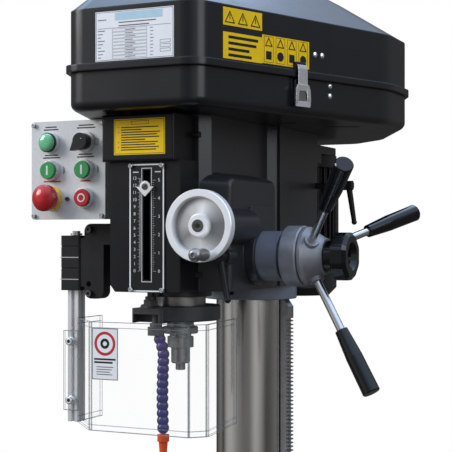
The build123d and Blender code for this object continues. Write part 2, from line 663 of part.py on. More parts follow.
def socket_screw(head, direction, head_radius, length, socket=None):
    """A cap screw with a hexagon socket; its head's outer face centre is head."""
    out = Vector(*direction)
    start = Vector(*head)
    depth = head_radius * 1.2
    rod(tuple(start), tuple(start - out * depth), head_radius)
    rod(tuple(start - out * depth), tuple(start - out * length), head_radius * 0.55)
    rod(tuple(start), tuple(start - out * depth * 0.5), socket or head_radius * 0.5,
        Mode.SUBTRACT)


def make_cap_screws():
    """Socket screws of the head, housing, scale plate, panel and guard bracket."""
    with BuildPart() as cap_screws:
        for z in (1325, 1525):
            socket_screw((57.4, -308, z), (1, 0, 0), 4.5, 15)
        for x in (-24.5, 24.5):
            for z in (1305.5, 1479.5):
                socket_screw((x, -363.86, z), (0, -1, 0), 2.8, 6)
        for x, z in panel_corners + [KEY_PLACE]:
            socket_screw((x, PANEL_Y - 3.6, z), (0, -1, 0), 3, 5)
        for x, z in GUARD_SCREWS:
            socket_screw((x, -274, z), (0, -1, 0), 5, 12)
    cap_screws.part.label = "cap_screws"
    export_step(cap_screws.part, "parts/cap_screws.step")


# ---- quill feed ---------------------------------------------------------------------------
def make_feed_shaft():
    """Cross shaft with the pinion that meshes with the quill rack."""
    with BuildPart() as feed_shaft:
        rod((-98, FEED_Y, FEED_Z), (212, FEED_Y, FEED_Z), 12.5)
        with BuildSketch(right_plane(-12, FEED_Y, FEED_Z)):
            Polygon(*gear_points(PINION_TEETH, PINION_MODULE), align=None)
        extrude(amount=24)
    feed_shaft.part.label = "feed_shaft"
    export_step(feed_shaft.part, "parts/feed_shaft.step")


def make_worm_wheel():
    """Fine feed wheel that runs on the cross shaft until the clutch grips it."""
    with BuildPart() as worm_wheel:
        with BuildSketch(right_plane(86, FEED_Y, FEED_Z)):
            Polygon(*gear_points(40, 1.55), align=None)
            Circle(12.5 + RUN, mode=Mode.SUBTRACT)
        extrude(amount=12)
    worm_wheel.part.label = "worm_wheel"
    export_step(worm_wheel.part, "parts/worm_wheel.step")


def make_feed_sleeve():
    """Bearing sleeve of the cross shaft, bolted to the gearbox."""
    with BuildPart() as feed_sleeve:
        with BuildSketch(Plane(origin=(0, FEED_Y, FEED_Z), x_dir=(1, 0, 0), z_dir=(0, -1, 0))):
            with BuildLine():
                Polyline((114, 12.5 + RUN), (114, 36.5), (145, 36.5), (146.5, 35), (146.5, 31),
                         (151.6, 31), (151.6, 12.5 + RUN), close=True)
            make_face()
        revolve(axis=Axis((0, FEED_Y, FEED_Z), (1, 0, 0)))
    feed_sleeve.part.label = "feed_sleeve"
    export_step(feed_sleeve.part, "parts/feed_sleeve.step")


def make_clutch_ring():
    """Large clutch ring between the sleeve and the hub."""
    with BuildPart() as clutch_ring:
        with BuildSketch(Plane(origin=(0, FEED_Y, FEED_Z), x_dir=(1, 0, 0), z_dir=(0, -1, 0))):
            with BuildLine():
                Polyline((152, 12.5), (152, 42.3), (154, 44.3), (176.5, 44.3), (178, 42.8),
                         (178, 12.5), close=True)
            make_face()
        revolve(axis=Axis((0, FEED_Y, FEED_Z), (1, 0, 0)))
    clutch_ring.part.label = "clutch_ring"
    export_step(clutch_ring.part, "parts/clutch_ring.step")


def arm_point(angle, distance):
    """A point on a capstan arm: the arms lean ARM_LEAN outwards from the cross shaft's plane."""
    lean = radians(ARM_LEAN)
    turn = radians(angle)
    return (ARM_X + distance * sin(lean), FEED_Y + distance * cos(lean) * cos(turn),
            FEED_Z + distance * cos(lean) * sin(turn))


def make_capstan_hub():
    """Tapered hub with three bosses that hold the arms."""
    with BuildPart() as capstan_hub:
        with BuildSketch(Plane(origin=(0, FEED_Y, FEED_Z), x_dir=(1, 0, 0), z_dir=(0, -1, 0))):
            with BuildLine():
                Polyline((178, 12.5), (178, 39), (180, 39), (180, 42), (185, 42.5), (188, 39),
                         (208, 27), (212, 26), (212, 12.5), close=True)
            make_face()
        revolve(axis=Axis((0, FEED_Y, FEED_Z), (1, 0, 0)))
        for angle in ARM_ANGLES:
            rod(arm_point(angle, 26), arm_point(angle, 43), 13.5, top=10.5)
        rod((176, FEED_Y, FEED_Z), (213, FEED_Y, FEED_Z), 12.5, Mode.SUBTRACT)
        for angle in ARM_ANGLES:
            rod(arm_point(angle, 30), arm_point(angle, 60), 6, Mode.SUBTRACT)
    capstan_hub.part.label = "capstan_hub"
    export_step(capstan_hub.part, "parts/capstan_hub.step")


def make_lever_rods():
    """Three steel arms screwed into the hub."""
    with BuildPart() as lever_rods:
        for angle in ARM_ANGLES:
            rod(arm_point(angle, 30), arm_point(angle, 212), 6)
    lever_rods.part.label = "lever_rods"
    export_step(lever_rods.part, "parts/lever_rods.step")


def make_lever_grips():
    """Three moulded handles on the arms, waisted towards the hub."""
    with BuildPart() as lever_grips:
        for angle in ARM_ANGLES:
            rod(arm_point(angle, 123), arm_point(angle, 165), 9.4, top=12.2)
            rod(arm_point(angle, 165), arm_point(angle, 220.5), 12.2, top=12.8)
            rod(arm_point(angle, 220.5), arm_point(angle, 222), 12.8, top=11.6)
            rod(arm_point(angle, 120), arm_point(angle, 212), 6, Mode.SUBTRACT)
    lever_grips.part.label = "lever_grips"
    export_step(lever_grips.part, "parts/lever_grips.step")


def make_clutch_knob():
    """Eight-sided knob on the end of the cross shaft that grips the fine feed."""
    with BuildPart() as clutch_knob:
        rod((212.4, FEED_Y, FEED_Z), (230, FEED_Y, FEED_Z), 23)
        with BuildSketch(right_plane(228, FEED_Y, FEED_Z)):
            RegularPolygon(37, 8, rotation=22.5)
            Circle(35.5, mode=Mode.INTERSECT)
        extrude(amount=22)
        chamfer(clutch_knob.faces().sort_by(Axis.X)[-1].edges(), length=5)
        rod((242, FEED_Y, FEED_Z), (251, FEED_Y, FEED_Z), 16, Mode.SUBTRACT, top=21)
    clutch_knob.part.label = "clutch_knob"
    export_step(clutch_knob.part, "parts/clutch_knob.step")


def make_handwheel():
    """Dished handwheel of the fine feed with its graduated dial and handle pin."""
    with BuildPart() as handwheel:
        with BuildSketch(Plane(origin=(WORM_X, 0, WORM_Z), x_dir=(1, 0, 0), z_dir=(0, 0, 1))):
            with BuildLine():
                Polyline((6, -353), (30, -353), (31, -354), (31, -367), (41, -368), (49.5, -373),
                         (49.5, -384), (48.5, -385), (40, -385), (37, -377), (17, -380),
                         (14, -386), (6, -386), close=True)
            make_face()
        revolve(axis=Axis((WORM_X, 0, WORM_Z), (0, 1, 0)))
        rod((KNOB_X, -372, KNOB_Z), (KNOB_X, -422, KNOB_Z), 3)
        rod((KNOB_X, -384, KNOB_Z), (KNOB_X, -387, KNOB_Z), 7)
    handwheel.part.label = "handwheel"
    export_step(handwheel.part, "parts/handwheel.step")


def make_handwheel_knob():
    """Turning handle on the rim of the handwheel."""
    with BuildPart() as handwheel_knob:
        with BuildSketch(Plane(origin=(KNOB_X, 0, KNOB_Z), x_dir=(1, 0, 0), z_dir=(0, 0, 1))):
            with BuildLine():
                first = Line((3 + RUN, -387.4), (6.5, -387.4))
                side = Spline(first @ 1, (8.6, -398), (7.4, -410), (9.2, -420), (4, -427))
                Polyline(side @ 1, (3 + RUN, -427), (3 + RUN, -387.4))
            make_face()
        revolve(axis=Axis((KNOB_X, 0, KNOB_Z), (0, 1, 0)))
    handwheel_knob.part.label = "handwheel_knob"
    export_step(handwheel_knob.part, "parts/handwheel_knob.step")


def make_worm_shaft():
    """Fine feed shaft with its worm rings."""
    with BuildPart() as worm_shaft:
        rod((WORM_X, -352.5, WORM_Z), (WORM_X, -165, WORM_Z), 10)
        rod((WORM_X, -386, WORM_Z), (WORM_X, -352, WORM_Z), 6)
        rod((WORM_X, -230, WORM_Z), (WORM_X, -184, WORM_Z), 12, Mode.SUBTRACT)
        rod((WORM_X, -230, WORM_Z), (WORM_X, -184, WORM_Z), 7.2)
        for ring in range(9):
            y = -228 + ring * pi * 1.55
            rod((WORM_X, y, WORM_Z), (WORM_X, y + 2, WORM_Z), 10)
    worm_shaft.part.label = "worm_shaft"
    export_step(worm_shaft.part, "parts/worm_shaft.step")


def make_spring_case():
    """Drum of the quill return spring on the left of the head."""
    with BuildPart() as spring_case:
        rod((-HEAD_HALF, FEED_Y, FEED_Z), (-106, FEED_Y, FEED_Z), 42)
        chamfer(spring_case.edges().filter_by(GeomType.CIRCLE).sort_by(Axis.X)[0], length=4)
        rod((-HEAD_HALF, FEED_Y, FEED_Z), (-101, FEED_Y, FEED_Z), 36, Mode.SUBTRACT)
    spring_case.part.label = "spring_case"
    export_step(spring_case.part, "parts/spring_case.step")


def ratchet_lever(pivot, axis, tip, screw_end):
    """A clamp lever in the active part: screw, hub and arm from pivot along axis towards tip."""
    out = Vector(*axis)
    centre = Vector(*pivot)
    rod(tuple(centre), tuple(Vector(*screw_end)), 5)
    rod(tuple(centre - out * 8), tuple(centre + out * 9), 8)
    rod(tuple(centre + out * 2), tip, 5.2, top=4)
    with Locations(tip):
        Sphere(4.6)


def make_quill_lock_lever():
    """Lever that locks the quill, on the front of the gearbox."""
    with BuildPart() as quill_lock_lever:
        ratchet_lever((LOCK_X, -313, LOCK_Z), (0, -1, 0), (LOCK_X + 15, -322, LOCK_Z - 60),
                      (LOCK_X, -277, LOCK_Z))
    quill_lock_lever.part.label = "quill_lock_lever"
    export_step(quill_lock_lever.part, "parts/quill_lock_lever.step")


# ---- drive --------------------------------------------------------------------------------
def make_motor():
    """Upright motor with cooling ribs, fan cover, terminal box and shaft."""
    with BuildPart() as motor:
        rod((0, MOTOR_Y, 1330), (0, MOTOR_Y, 1512), 66)
        with BuildSketch(Plane.XY.offset(1330)):
            with Locations((0, MOTOR_Y)):
                with PolarLocations(68, 30):
                    Rectangle(10, 2.4)
        extrude(amount=175)
        rod((0, MOTOR_Y, 1275), (0, MOTOR_Y, 1289), 60, top=73.5)
        rod((0, MOTOR_Y, 1289), (0, MOTOR_Y, 1334), 73.5)
        rod((0, MOTOR_Y, 1504), (0, MOTOR_Y, 1526), 73.5)
        block((-44, 44), (MOTOR_Y + 55, MOTOR_Y + 106), (1385, 1475))
        rod((0, MOTOR_Y, 1520), (0, MOTOR_Y, 1685), 12)
        rod((-14, MOTOR_Y + 84, 1385), (-14, MOTOR_Y + 84, 1373), 10)
    motor.part.label = "motor"
    export_step(motor.part, "parts/motor.step")


def make_motor_plate():
    """Plate that hangs the motor on two slide bars at the back of the head."""
    with BuildPart() as motor_plate:
        block((-72, 72), (REAR_END + 3, MOTOR_Y), (1526, 1540))
        rod((0, MOTOR_Y, 1526), (0, MOTOR_Y, 1540), 72)
        rod((0, MOTOR_Y, 1500), (0, MOTOR_Y, 1541), 30, Mode.SUBTRACT)
        for x in (-SLIDE_X, SLIDE_X):
            rod((x, 72, SLIDE_Z), (x, REAR_END + 26, SLIDE_Z), 8)
            block((x - 12, x + 12), (REAR_END + 3, REAR_END + 26), (SLIDE_Z - 12, 1530))
    motor_plate.part.label = "motor_plate"
    export_step(motor_plate.part, "parts/motor_plate.step")


def make_motor_lock_lever():
    """Lever that clamps the motor slide, on the right behind the column."""
    with BuildPart() as motor_lock_lever:
        ratchet_lever((137, 96, 1467), (1, 0, 0), (146, 104, 1405), (54, 96, 1467))
    motor_lock_lever.part.label = "motor_lock_lever"
    export_step(motor_lock_lever.part, "parts/motor_lock_lever.step")


def pulley_profile(radii, bore, bottom):
    """Half section of a stepped pulley: one belt groove per step, from the bottom up."""
    points = [(bore, bottom)]
    for step, radius in enumerate(radii):
        low = bottom + step * STEP_H
        points += [(radius, low), (radius, low + 5.5), (radius - 9, low + 6.5),
                   (radius - 9, low + 17.5), (radius, low + 18.5), (radius, low + STEP_H)]
    return points + [(bore, bottom + STEP_H * len(radii))]


def make_spindle_pulley():
    """Four-step pulley with its drive sleeve round the splined spindle end."""
    with BuildPart() as spindle_pulley:
        with BuildSketch(Plane.XZ.offset(-SPINDLE_Y)):
            with BuildLine():
                Polyline(*pulley_profile(SPINDLE_STEPS, 10 + RUN, PULLEY_Z), close=True)
            make_face()
        revolve(axis=Axis((0, SPINDLE_Y, 0), (0, 0, 1)))
        rod((0, SPINDLE_Y, 1566), (0, SPINDLE_Y, PULLEY_Z), 22)
        rod((0, SPINDLE_Y, 1560), (0, SPINDLE_Y, PULLEY_Z + 1), 10 + RUN, Mode.SUBTRACT)
    spindle_pulley.part.label = "spindle_pulley"
    export_step(spindle_pulley.part, "parts/spindle_pulley.step")


def make_idler_pulley():
    """Middle pulley on its own shaft in the top of the head."""
    with BuildPart() as idler_pulley:
        with BuildSketch(Plane.XZ.offset(-IDLER_Y)):
            with BuildLine():
                Polyline(*pulley_profile(IDLER_STEPS, 0, PULLEY_Z), close=True)
            make_face()
        revolve(axis=Axis((0, IDLER_Y, 0), (0, 0, 1)))
        rod((0, IDLER_Y, COLUMN_TOP + 6), (0, IDLER_Y, PULLEY_Z), 10)
        rod((0, IDLER_Y, HEAD_TOP + 1), (0, IDLER_Y, PULLEY_Z), 16)
    idler_pulley.part.label = "idler_pulley"
    export_step(idler_pulley.part, "parts/idler_pulley.step")


def make_motor_pulley():
    """Four-step pulley keyed to the motor shaft."""
    with BuildPart() as motor_pulley:
        with BuildSketch(Plane.XZ.offset(-MOTOR_Y)):
            with BuildLine():
                Polyline(*pulley_profile(MOTOR_STEPS, 12 + RUN, PULLEY_Z), close=True)
            make_face()
        revolve(axis=Axis((0, MOTOR_Y, 0), (0, 0, 1)))
    motor_pulley.part.label = "motor_pulley"
    export_step(motor_pulley.part, "parts/motor_pulley.step")


def make_drive_belts():
    """Two belts: motor to middle pulley, and middle pulley to spindle."""
    runs = ((SPINDLE_Y, SPINDLE_STEPS, SPINDLE_LEVEL), (MOTOR_Y, MOTOR_STEPS, MOTOR_LEVEL))
    with BuildPart() as drive_belts:
        for far_y, far_steps, level in runs:
            low = PULLEY_Z + level * STEP_H + 7
            for shrink, mode in ((0.5, Mode.ADD), (8, Mode.SUBTRACT)):
                with BuildSketch(Plane.XY.offset(low)):
                    with Locations((0, far_y)):
                        Circle(far_steps[level] - shrink)
                    with Locations((0, IDLER_Y)):
                        Circle(IDLER_STEPS[level] - shrink)
                    make_hull()
                extrude(amount=10, mode=mode)
    drive_belts.part.label = "drive_belts"
    export_step(drive_belts.part, "parts/drive_belts.step")


def side_plane(along, z, out=0):
    """A plane on the right side of the rim: x runs backwards, y up, and extrusion outwards."""
    x = SIDE_X + along * SIDE_DIR[0] + out * SIDE_DIR[1]
    y = SIDE_Y + along * SIDE_DIR[1] - out * SIDE_DIR[0]
    return Plane(origin=(x, y, z), x_dir=(*SIDE_DIR, 0), z_dir=(SIDE_DIR[1], -SIDE_DIR[0], 0))


def make_belt_case_pan():
    """Lower half of the belt case with its underside openings, latch seat and hinge lugs."""
    with BuildPart() as belt_case_pan:
        with BuildSketch(Plane.XY.offset(CASE_BOTTOM)):
            with BuildLine():
                FilletPolyline(*case_points(6), radius=CASE_RADII, close=True)
            make_face()
        extrude(amount=CASE_RIM - CASE_BOTTOM)
        fillet(belt_case_pan.faces().sort_by(Axis.Z)[0].edges(), radius=12)
        offset(amount=-3, openings=belt_case_pan.faces().sort_by(Axis.Z)[-1])
        rod((0, SPINDLE_Y, CASE_BOTTOM - 1), (0, SPINDLE_Y, CASE_BOTTOM + 9), 34, Mode.SUBTRACT)
        rod((0, IDLER_Y, CASE_BOTTOM - 1), (0, IDLER_Y, CASE_BOTTOM + 9), 20, Mode.SUBTRACT)
        rod((0, MOTOR_Y, CASE_BOTTOM - 1), (0, MOTOR_Y, CASE_BOTTOM + 9), 32, Mode.SUBTRACT)
        for side in (-1, 1):
            for x, y in ((100, -125), (168, -22)):
                with BuildSketch(Plane.XY.offset(CASE_BOTTOM - 1)):
                    with Locations(Location((side * x, y), 25 * side)):
                        SlotOverall(58, 14)
                extrude(amount=8, mode=Mode.SUBTRACT)
        with BuildSketch(side_plane(0, LATCH_Z)):
            with Locations((0, 6)):
                RectangleRounded(26, 36, 2)
        extrude(amount=-9)
        for x in (-HINGE_X, HINGE_X):
            block((x - 14, x + 14), (HINGE_Y - 18, HINGE_Y + 5), (HINGE_Z - 14, HINGE_Z - 6.5))
            block((x - 14, x - 6), (HINGE_Y - 5, HINGE_Y + 5), (HINGE_Z - 14, HINGE_Z + 4))
            block((x + 6, x + 14), (HINGE_Y - 5, HINGE_Y + 5), (HINGE_Z - 14, HINGE_Z + 4))
            rod((x - 14, HINGE_Y, HINGE_Z), (x + 14, HINGE_Y, HINGE_Z), 2.5)
    belt_case_pan.part.label = "belt_case_pan"
    export_step(belt_case_pan.part, "parts/belt_case_pan.step")


def make_belt_case_lid():
    """Upper half of the belt case: overlapping rim, straight wall, bevel, strike and knuckles."""
    with BuildPart() as belt_case_lid:
        for shell, mode in ((0, Mode.ADD), (3, Mode.SUBTRACT)):
            with BuildSketch(Plane.XY.offset(CASE_RIM)):
                with BuildLine():
                    FilletPolyline(*case_points(6 + shell), radius=CASE_RADII, close=True)
                make_face()
            extrude(amount=CASE_SHOULDER - CASE_RIM, mode=mode)
            with BuildSketch(Plane.XY.offset(CASE_SHOULDER - 0.01)):
                with BuildLine():
                    FilletPolyline(*case_points(6.5 + shell), radius=CASE_RADII, close=True)
                make_face()
            with BuildSketch(Plane.XY.offset(CASE_TOP - shell)):
                with BuildLine():
                    FilletPolyline(*case_top_points(shell), radius=TOP_RADII, close=True)
                make_face()
            loft(mode=mode)
        with BuildSketch(Plane.XY.offset(CASE_RIM)):
            with BuildLine():
                FilletPolyline(*case_points(0), radius=CASE_RADII, close=True)
            make_face()
            with BuildLine():
                FilletPolyline(*case_points(8), radius=CASE_RADII, close=True)
            make_face(mode=Mode.SUBTRACT)
        extrude(amount=CASE_RIM_H)
        with BuildSketch(side_plane(0, CASE_RIM + 14)):
            RectangleRounded(22, 16, 2)
        extrude(amount=-7)
        for x in (-HINGE_X, HINGE_X):
            rod((x - 5.6, HINGE_Y, HINGE_Z), (x + 5.6, HINGE_Y, HINGE_Z), 5)
            block((x - 5.6, x + 5.6), (HINGE_Y - 14, HINGE_Y), (HINGE_Z - 1.4, HINGE_Z + 5))
            rod((x - 6, HINGE_Y, HINGE_Z), (x + 6, HINGE_Y, HINGE_Z), 2.5 + RUN, Mode.SUBTRACT)
    belt_case_lid.part.label = "belt_case_lid"
    export_step(belt_case_lid.part, "parts/belt_case_lid.step")


def make_lid_latch():
    """Toggle lever of the lid latch, hinged at its lower end on the pan."""
    with BuildPart() as lid_latch:
        with BuildSketch(side_plane(0, LATCH_Z, 1)):
            RectangleRounded(32, 32, 3)
            with Locations((0, 28)):
                RectangleRounded(20, 36, 2)
            with Locations((0, -10)):
                RectangleRounded(16, 4, 1.5, mode=Mode.SUBTRACT)
        extrude(amount=3.5)
    lid_latch.part.label = "lid_latch"
    export_step(lid_latch.part, "parts/lid_latch.step")


# ---- power panel --------------------------------------------------------------------------
def make_control_box():
    """Steel box behind the panel, with the arm that holds it to the head."""
    with BuildPart() as control_box:
        with BuildSketch(front_plane(PANEL_Y + 62)):
            with Locations(((PANEL_X0 + PANEL_X1) / 2, (PANEL_Z0 + PANEL_Z1) / 2)):
                RectangleRounded(128, PANEL_Z1 - PANEL_Z0 - 2, 4)
        extrude(amount=60)
        offset(amount=-2, openings=control_box.faces().sort_by(Axis.Y)[0])
        block((PANEL_X1 - 4, -HEAD_HALF), (PANEL_Y + 40, PANEL_Y + 60), (1448, 1528))
        rod((GLAND_X, PANEL_Y + 60, GLAND_Z), (GLAND_X, PANEL_Y + 78, GLAND_Z), 9)
    control_box.part.label = "control_box"
    export_step(control_box.part, "parts/control_box.step")


def make_control_plate():
    """Front plate of the power panel with the switch holes."""
    holes = [*BUTTON_PLACES.values(), SELECTOR_PLACE, LAMP_PLACE, STOP_PLACE]
    with BuildPart() as control_plate:
        with BuildSketch(front_plane(PANEL_Y + 2)):
            with Locations(((PANEL_X0 + PANEL_X1) / 2, (PANEL_Z0 + PANEL_Z1) / 2)):
                RectangleRounded(130, PANEL_Z1 - PANEL_Z0, 4)
            with Locations(holes):
                Circle(11.3, mode=Mode.SUBTRACT)
            with Locations(panel_corners + [KEY_PLACE]):
                Circle(1.7, mode=Mode.SUBTRACT)
        extrude(amount=2)
    control_plate.part.label = "control_plate"
    export_step(control_plate.part, "parts/control_plate.step")


def make_switch_bezels():
    """Grey bezels of the buttons, the lamp's lens in its bezel and the stop button's disc."""
    with BuildPart() as switch_bezels:
        for x, z in BUTTON_PLACES.values():
            rod((x, PANEL_Y + 8, z), (x, PANEL_Y, z), 11.3)
            rod((x, PANEL_Y, z), (x, PANEL_Y - 9, z), BEZEL_R, top=BEZEL_R - 0.8)
            rod((x, PANEL_Y + 9, z), (x, PANEL_Y - 4, z), 10.6, Mode.SUBTRACT)
            rod((x, PANEL_Y - 4, z), (x, PANEL_Y - 10, z), BUTTON_R + GAP, Mode.SUBTRACT)
        x, z = LAMP_PLACE
        rod((x, PANEL_Y + 8, z), (x, PANEL_Y, z), 11.3)
        rod((x, PANEL_Y, z), (x, PANEL_Y - 9, z), BEZEL_R, top=BEZEL_R - 0.8)
        rod((x, PANEL_Y - 9, z), (x, PANEL_Y - 16, z), BUTTON_R, top=BUTTON_R - 3)
        x, z = SELECTOR_PLACE
        rod((x, PANEL_Y + 8, z), (x, PANEL_Y, z), 11.3)
        rod((x, PANEL_Y, z), (x, PANEL_Y - 6, z), BEZEL_R)
        rod((x, PANEL_Y + 9, z), (x, PANEL_Y - 7, z), 6 + RUN, Mode.SUBTRACT)
        x, z = STOP_PLACE
        rod((x, PANEL_Y + 8, z), (x, PANEL_Y, z), 11.3)
        rod((x, PANEL_Y, z), (x, PANEL_Y - 2, z), 18.5)
        rod((x, PANEL_Y - 2, z), (x, PANEL_Y - 5, z), 14)
        rod((x, PANEL_Y + 9, z), (x, PANEL_Y - 15, z), 8.2, Mode.SUBTRACT)
    switch_bezels.part.label = "switch_bezels"
    export_step(switch_bezels.part, "parts/switch_bezels.step")


def make_push_button(name):
    """One round push button, slightly domed, standing in its bezel."""
    x, z = BUTTON_PLACES[name]
    with BuildPart() as push_button:
        rod((x, PANEL_Y + 6, z), (x, PANEL_Y - 9, z), 10.3)
        rod((x, PANEL_Y - 8.5, z), (x, PANEL_Y - 13, z), BUTTON_R)
        fillet(push_button.faces().sort_by(Axis.Y)[0].edges(), radius=1.2)
    push_button.part.label = name
    export_step(push_button.part, f"parts/{name}.step")


def make_stop_mushroom():
    """Red mushroom head of the emergency stop."""
    x, z = STOP_PLACE
    with BuildPart() as stop_mushroom:
        with BuildSketch(Plane(origin=(x, 0, z), x_dir=(1, 0, 0), z_dir=(0, 0, 1))):
            with BuildLine():
                Polyline((0, -295), (8, -295), (8, -311), (14, -311), (20, -316), (20, -324))
                ThreePointArc((20, -324), (12, -330.5), (3, -333))
                Polyline((3, -333), (0, -333), (0, -295))
            make_face()
        revolve(axis=Axis((x, 0, z), (0, 1, 0)))
    stop_mushroom.part.label = "stop_mushroom"
    export_step(stop_mushroom.part, "parts/stop_mushroom.step")


def make_selector_knob():
    """Selector knob with a tapered beak."""
    x, z = SELECTOR_PLACE
    with BuildPart() as selector_knob:
        rod((x, PANEL_Y + 6, z), (x, PANEL_Y - 8, z), 6)
        with BuildSketch(front_plane(PANEL_Y - 6.5, x, z)):
            Circle(12)
            with BuildLine():
                Polyline((-9, 8), (-17, -14), (5, -11), close=True)
            make_face()
        extrude(amount=13)
    selector_knob.part.label = "selector_knob"
    export_step(selector_knob.part, "parts/selector_knob.step")


# ---- chuck guard and coolant --------------------------------------------------------------
def make_guard_bracket():
    """Bracket on the left of the head with the knuckle block of the guard's pivot."""
    x, y = GUARD_AXIS
    with BuildPart() as guard_bracket:
        block((x - 18, x + 18), (y - 18, y + 18), (1298, 1382))
        fillet(guard_bracket.edges().filter_by(Axis.Z), radius=4)
        for joint in range(4):
            low = 1314.2 + joint * 16.8
            block((x - 19, x + 19), (y - 19, y - 16.4), (low, low + 1.6), Mode.SUBTRACT)
            block((x - 19, x - 16.4), (y - 19, y + 19), (low, low + 1.6), Mode.SUBTRACT)
        with BuildSketch(front_plane(y + 4)):
            with Locations((-142, 1343)):
                RectangleRounded(34, 114, 12)
        extrude(amount=20)
        block((x + 16, -150), (y - 16, y + 4), (1304, 1378))
        block((-142, -HEAD_HALF), (y - 16, y), (1368, 1400))
        rod((x, y, 1290), (x, y, 1390), 6 + RUN, Mode.SUBTRACT)
        for screw_x, z in GUARD_SCREWS:
            rod((screw_x, -260, z), (screw_x, -276, z), 2.8, Mode.SUBTRACT)
        rod((-151, y - 20, 1308), (-151, y + 6, 1308), 4.2, Mode.SUBTRACT)
        rod((x - 17, y, 1322), (x - 24, y, 1322), 7, top=4)
    guard_bracket.part.label = "guard_bracket"
    export_step(guard_bracket.part, "parts/guard_bracket.step")


def make_guard_profile():
    """Grooved aluminium bar that hangs from the pivot pin."""
    x, y = GUARD_AXIS
    with BuildPart() as guard_profile:
        with BuildSketch(Plane.XY.offset(1096)):
            with Locations((x, y)):
                RectangleRounded(20, 20, 1.5)
            for turn in range(4):
                with Locations(Location((x, y), 90 * turn)):
                    with Locations((0, -8)):
                        Rectangle(5.6, 4.4, mode=Mode.SUBTRACT)
                    with Locations((0, -6.4)):
                        Rectangle(8, 2.2, mode=Mode.SUBTRACT)
        extrude(amount=201.7)
        rod((x, y, 1290), (x, y, 1389), 6)
        rod((x, y, 1382.3), (x, y, 1385.5), 9)
    guard_profile.part.label = "guard_profile"
    export_step(guard_profile.part, "parts/guard_profile.step")


def make_guard_shield():
    """Clear folded shield with its rear wings and the flange on the bar."""
    left = GUARD_AXIS[0] + 10 + GUARD_THICK / 2 + GAP
    with BuildPart() as guard_shield:
        with BuildSketch(Plane.XY.offset(GUARD_Z0)):
            with BuildLine():
                FilletPolyline((left, -199), (left, -266), (-110, -331), (51, -331),
                               (70.5, -311), (54, -181), radius=5)
            trace(line_width=GUARD_THICK)
        extrude(amount=GUARD_Z1 - GUARD_Z0)
        block((-197, left), (-266.6, -262.6), (1114, 1236))
        for z in (1130, 1220):
            rod((-183, -262.6, z), (-183, -274, z), 5.5)
    guard_shield.part.label = "guard_shield"
    export_step(guard_shield.part, "parts/guard_shield.step")


def hose_centre(z):
    """Centre line of the coolant hose: it swings to the right just under its fitting."""
    drop = min((HOSE_TOP + 14 - z) / 46, 1)
    sway = 1.5 * sin(pi * (HOSE_TOP - 40 - z) / 100)
    return (ROD_X + 7 + 12 * (3 - 2 * drop) * drop ** 2 - sway, -309, z)


def make_coolant_hose():
    """Swivel fitting and the chain of ball segments under the quill collar."""
    pitch = (HOSE_TOP - NOZZLE_TOP) / HOSE_BALLS
    with BuildPart() as coolant_hose:
        rod((ROD_X + 7, -310, 1268.2), (ROD_X + 7, -310, 1255), 5.5)
        rod((ROD_X + 7, -309, 1255.7), (ROD_X + 7, -309, 1250), 9)
        rod((ROD_X + 7, -309, 1250), (ROD_X + 7, -309, HOSE_TOP - 1), 12)
        for segment in range(HOSE_BALLS):
            ball = hose_centre(HOSE_TOP - (segment + 0.6) * pitch)
            neck = hose_centre(HOSE_TOP - (segment - 0.4) * pitch)
            rod(neck, ball, 6)
            with Locations(ball):
                Sphere(8.6)
    coolant_hose.part.label = "coolant_hose"
    export_step(coolant_hose.part, "parts/coolant_hose.step")


def make_coolant_nozzle():
    """Tapered nozzle on the end of the hose."""
    x, y, z = hose_centre(NOZZLE_TOP)
    with BuildPart() as coolant_nozzle:
        rod((x, y, z - 5.2), (x, y, z - 15), 8.6)
        rod((x, y, z - 15), (x, y, z - 24), 6.6, top=6)
        rod((x, y, z - 24), (x, y, z - 60), 6, top=3)
    coolant_nozzle.part.label = "coolant_nozzle"
    export_step(coolant_nozzle.part, "parts/coolant_nozzle.step")


for make in (
    make_base_plate, make_column_flange, make_flange_bolts, make_column_tube, make_table_rack,
    make_rack_collar, make_table_bracket, make_table_arm, make_table_top, make_lift_gear,
    make_table_crank, make_crank_grip, make_table_clamp_lever, make_head_casting, make_quill,
    make_spindle, make_spindle_bearings, make_arbor, make_quill_collar, make_depth_rod,
    make_depth_pointer, make_scale_housing, make_scale_plate, make_cap_screws, make_feed_shaft,
    make_worm_wheel, make_feed_sleeve, make_clutch_ring, make_capstan_hub, make_lever_rods,
    make_lever_grips, make_clutch_knob, make_handwheel, make_handwheel_knob, make_worm_shaft,
    make_spring_case, make_quill_lock_lever, make_motor, make_motor_plate,
    make_motor_lock_lever, make_spindle_pulley, make_idler_pulley, make_motor_pulley,
    make_drive_belts, make_belt_case_pan, make_belt_case_lid, make_lid_latch, make_control_box,
    make_control_plate, make_switch_bezels, make_stop_mushroom, make_selector_knob,
    make_guard_bracket, make_guard_profile, make_guard_shield, make_coolant_hose,
    make_coolant_nozzle,
):
    make()
for button in BUTTON_PLACES:
    make_push_button(button)
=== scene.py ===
from math import cos, pi, radians, sin

import bmesh
import bpy
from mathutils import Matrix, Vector
from mathutils.bvhtree import BVHTree


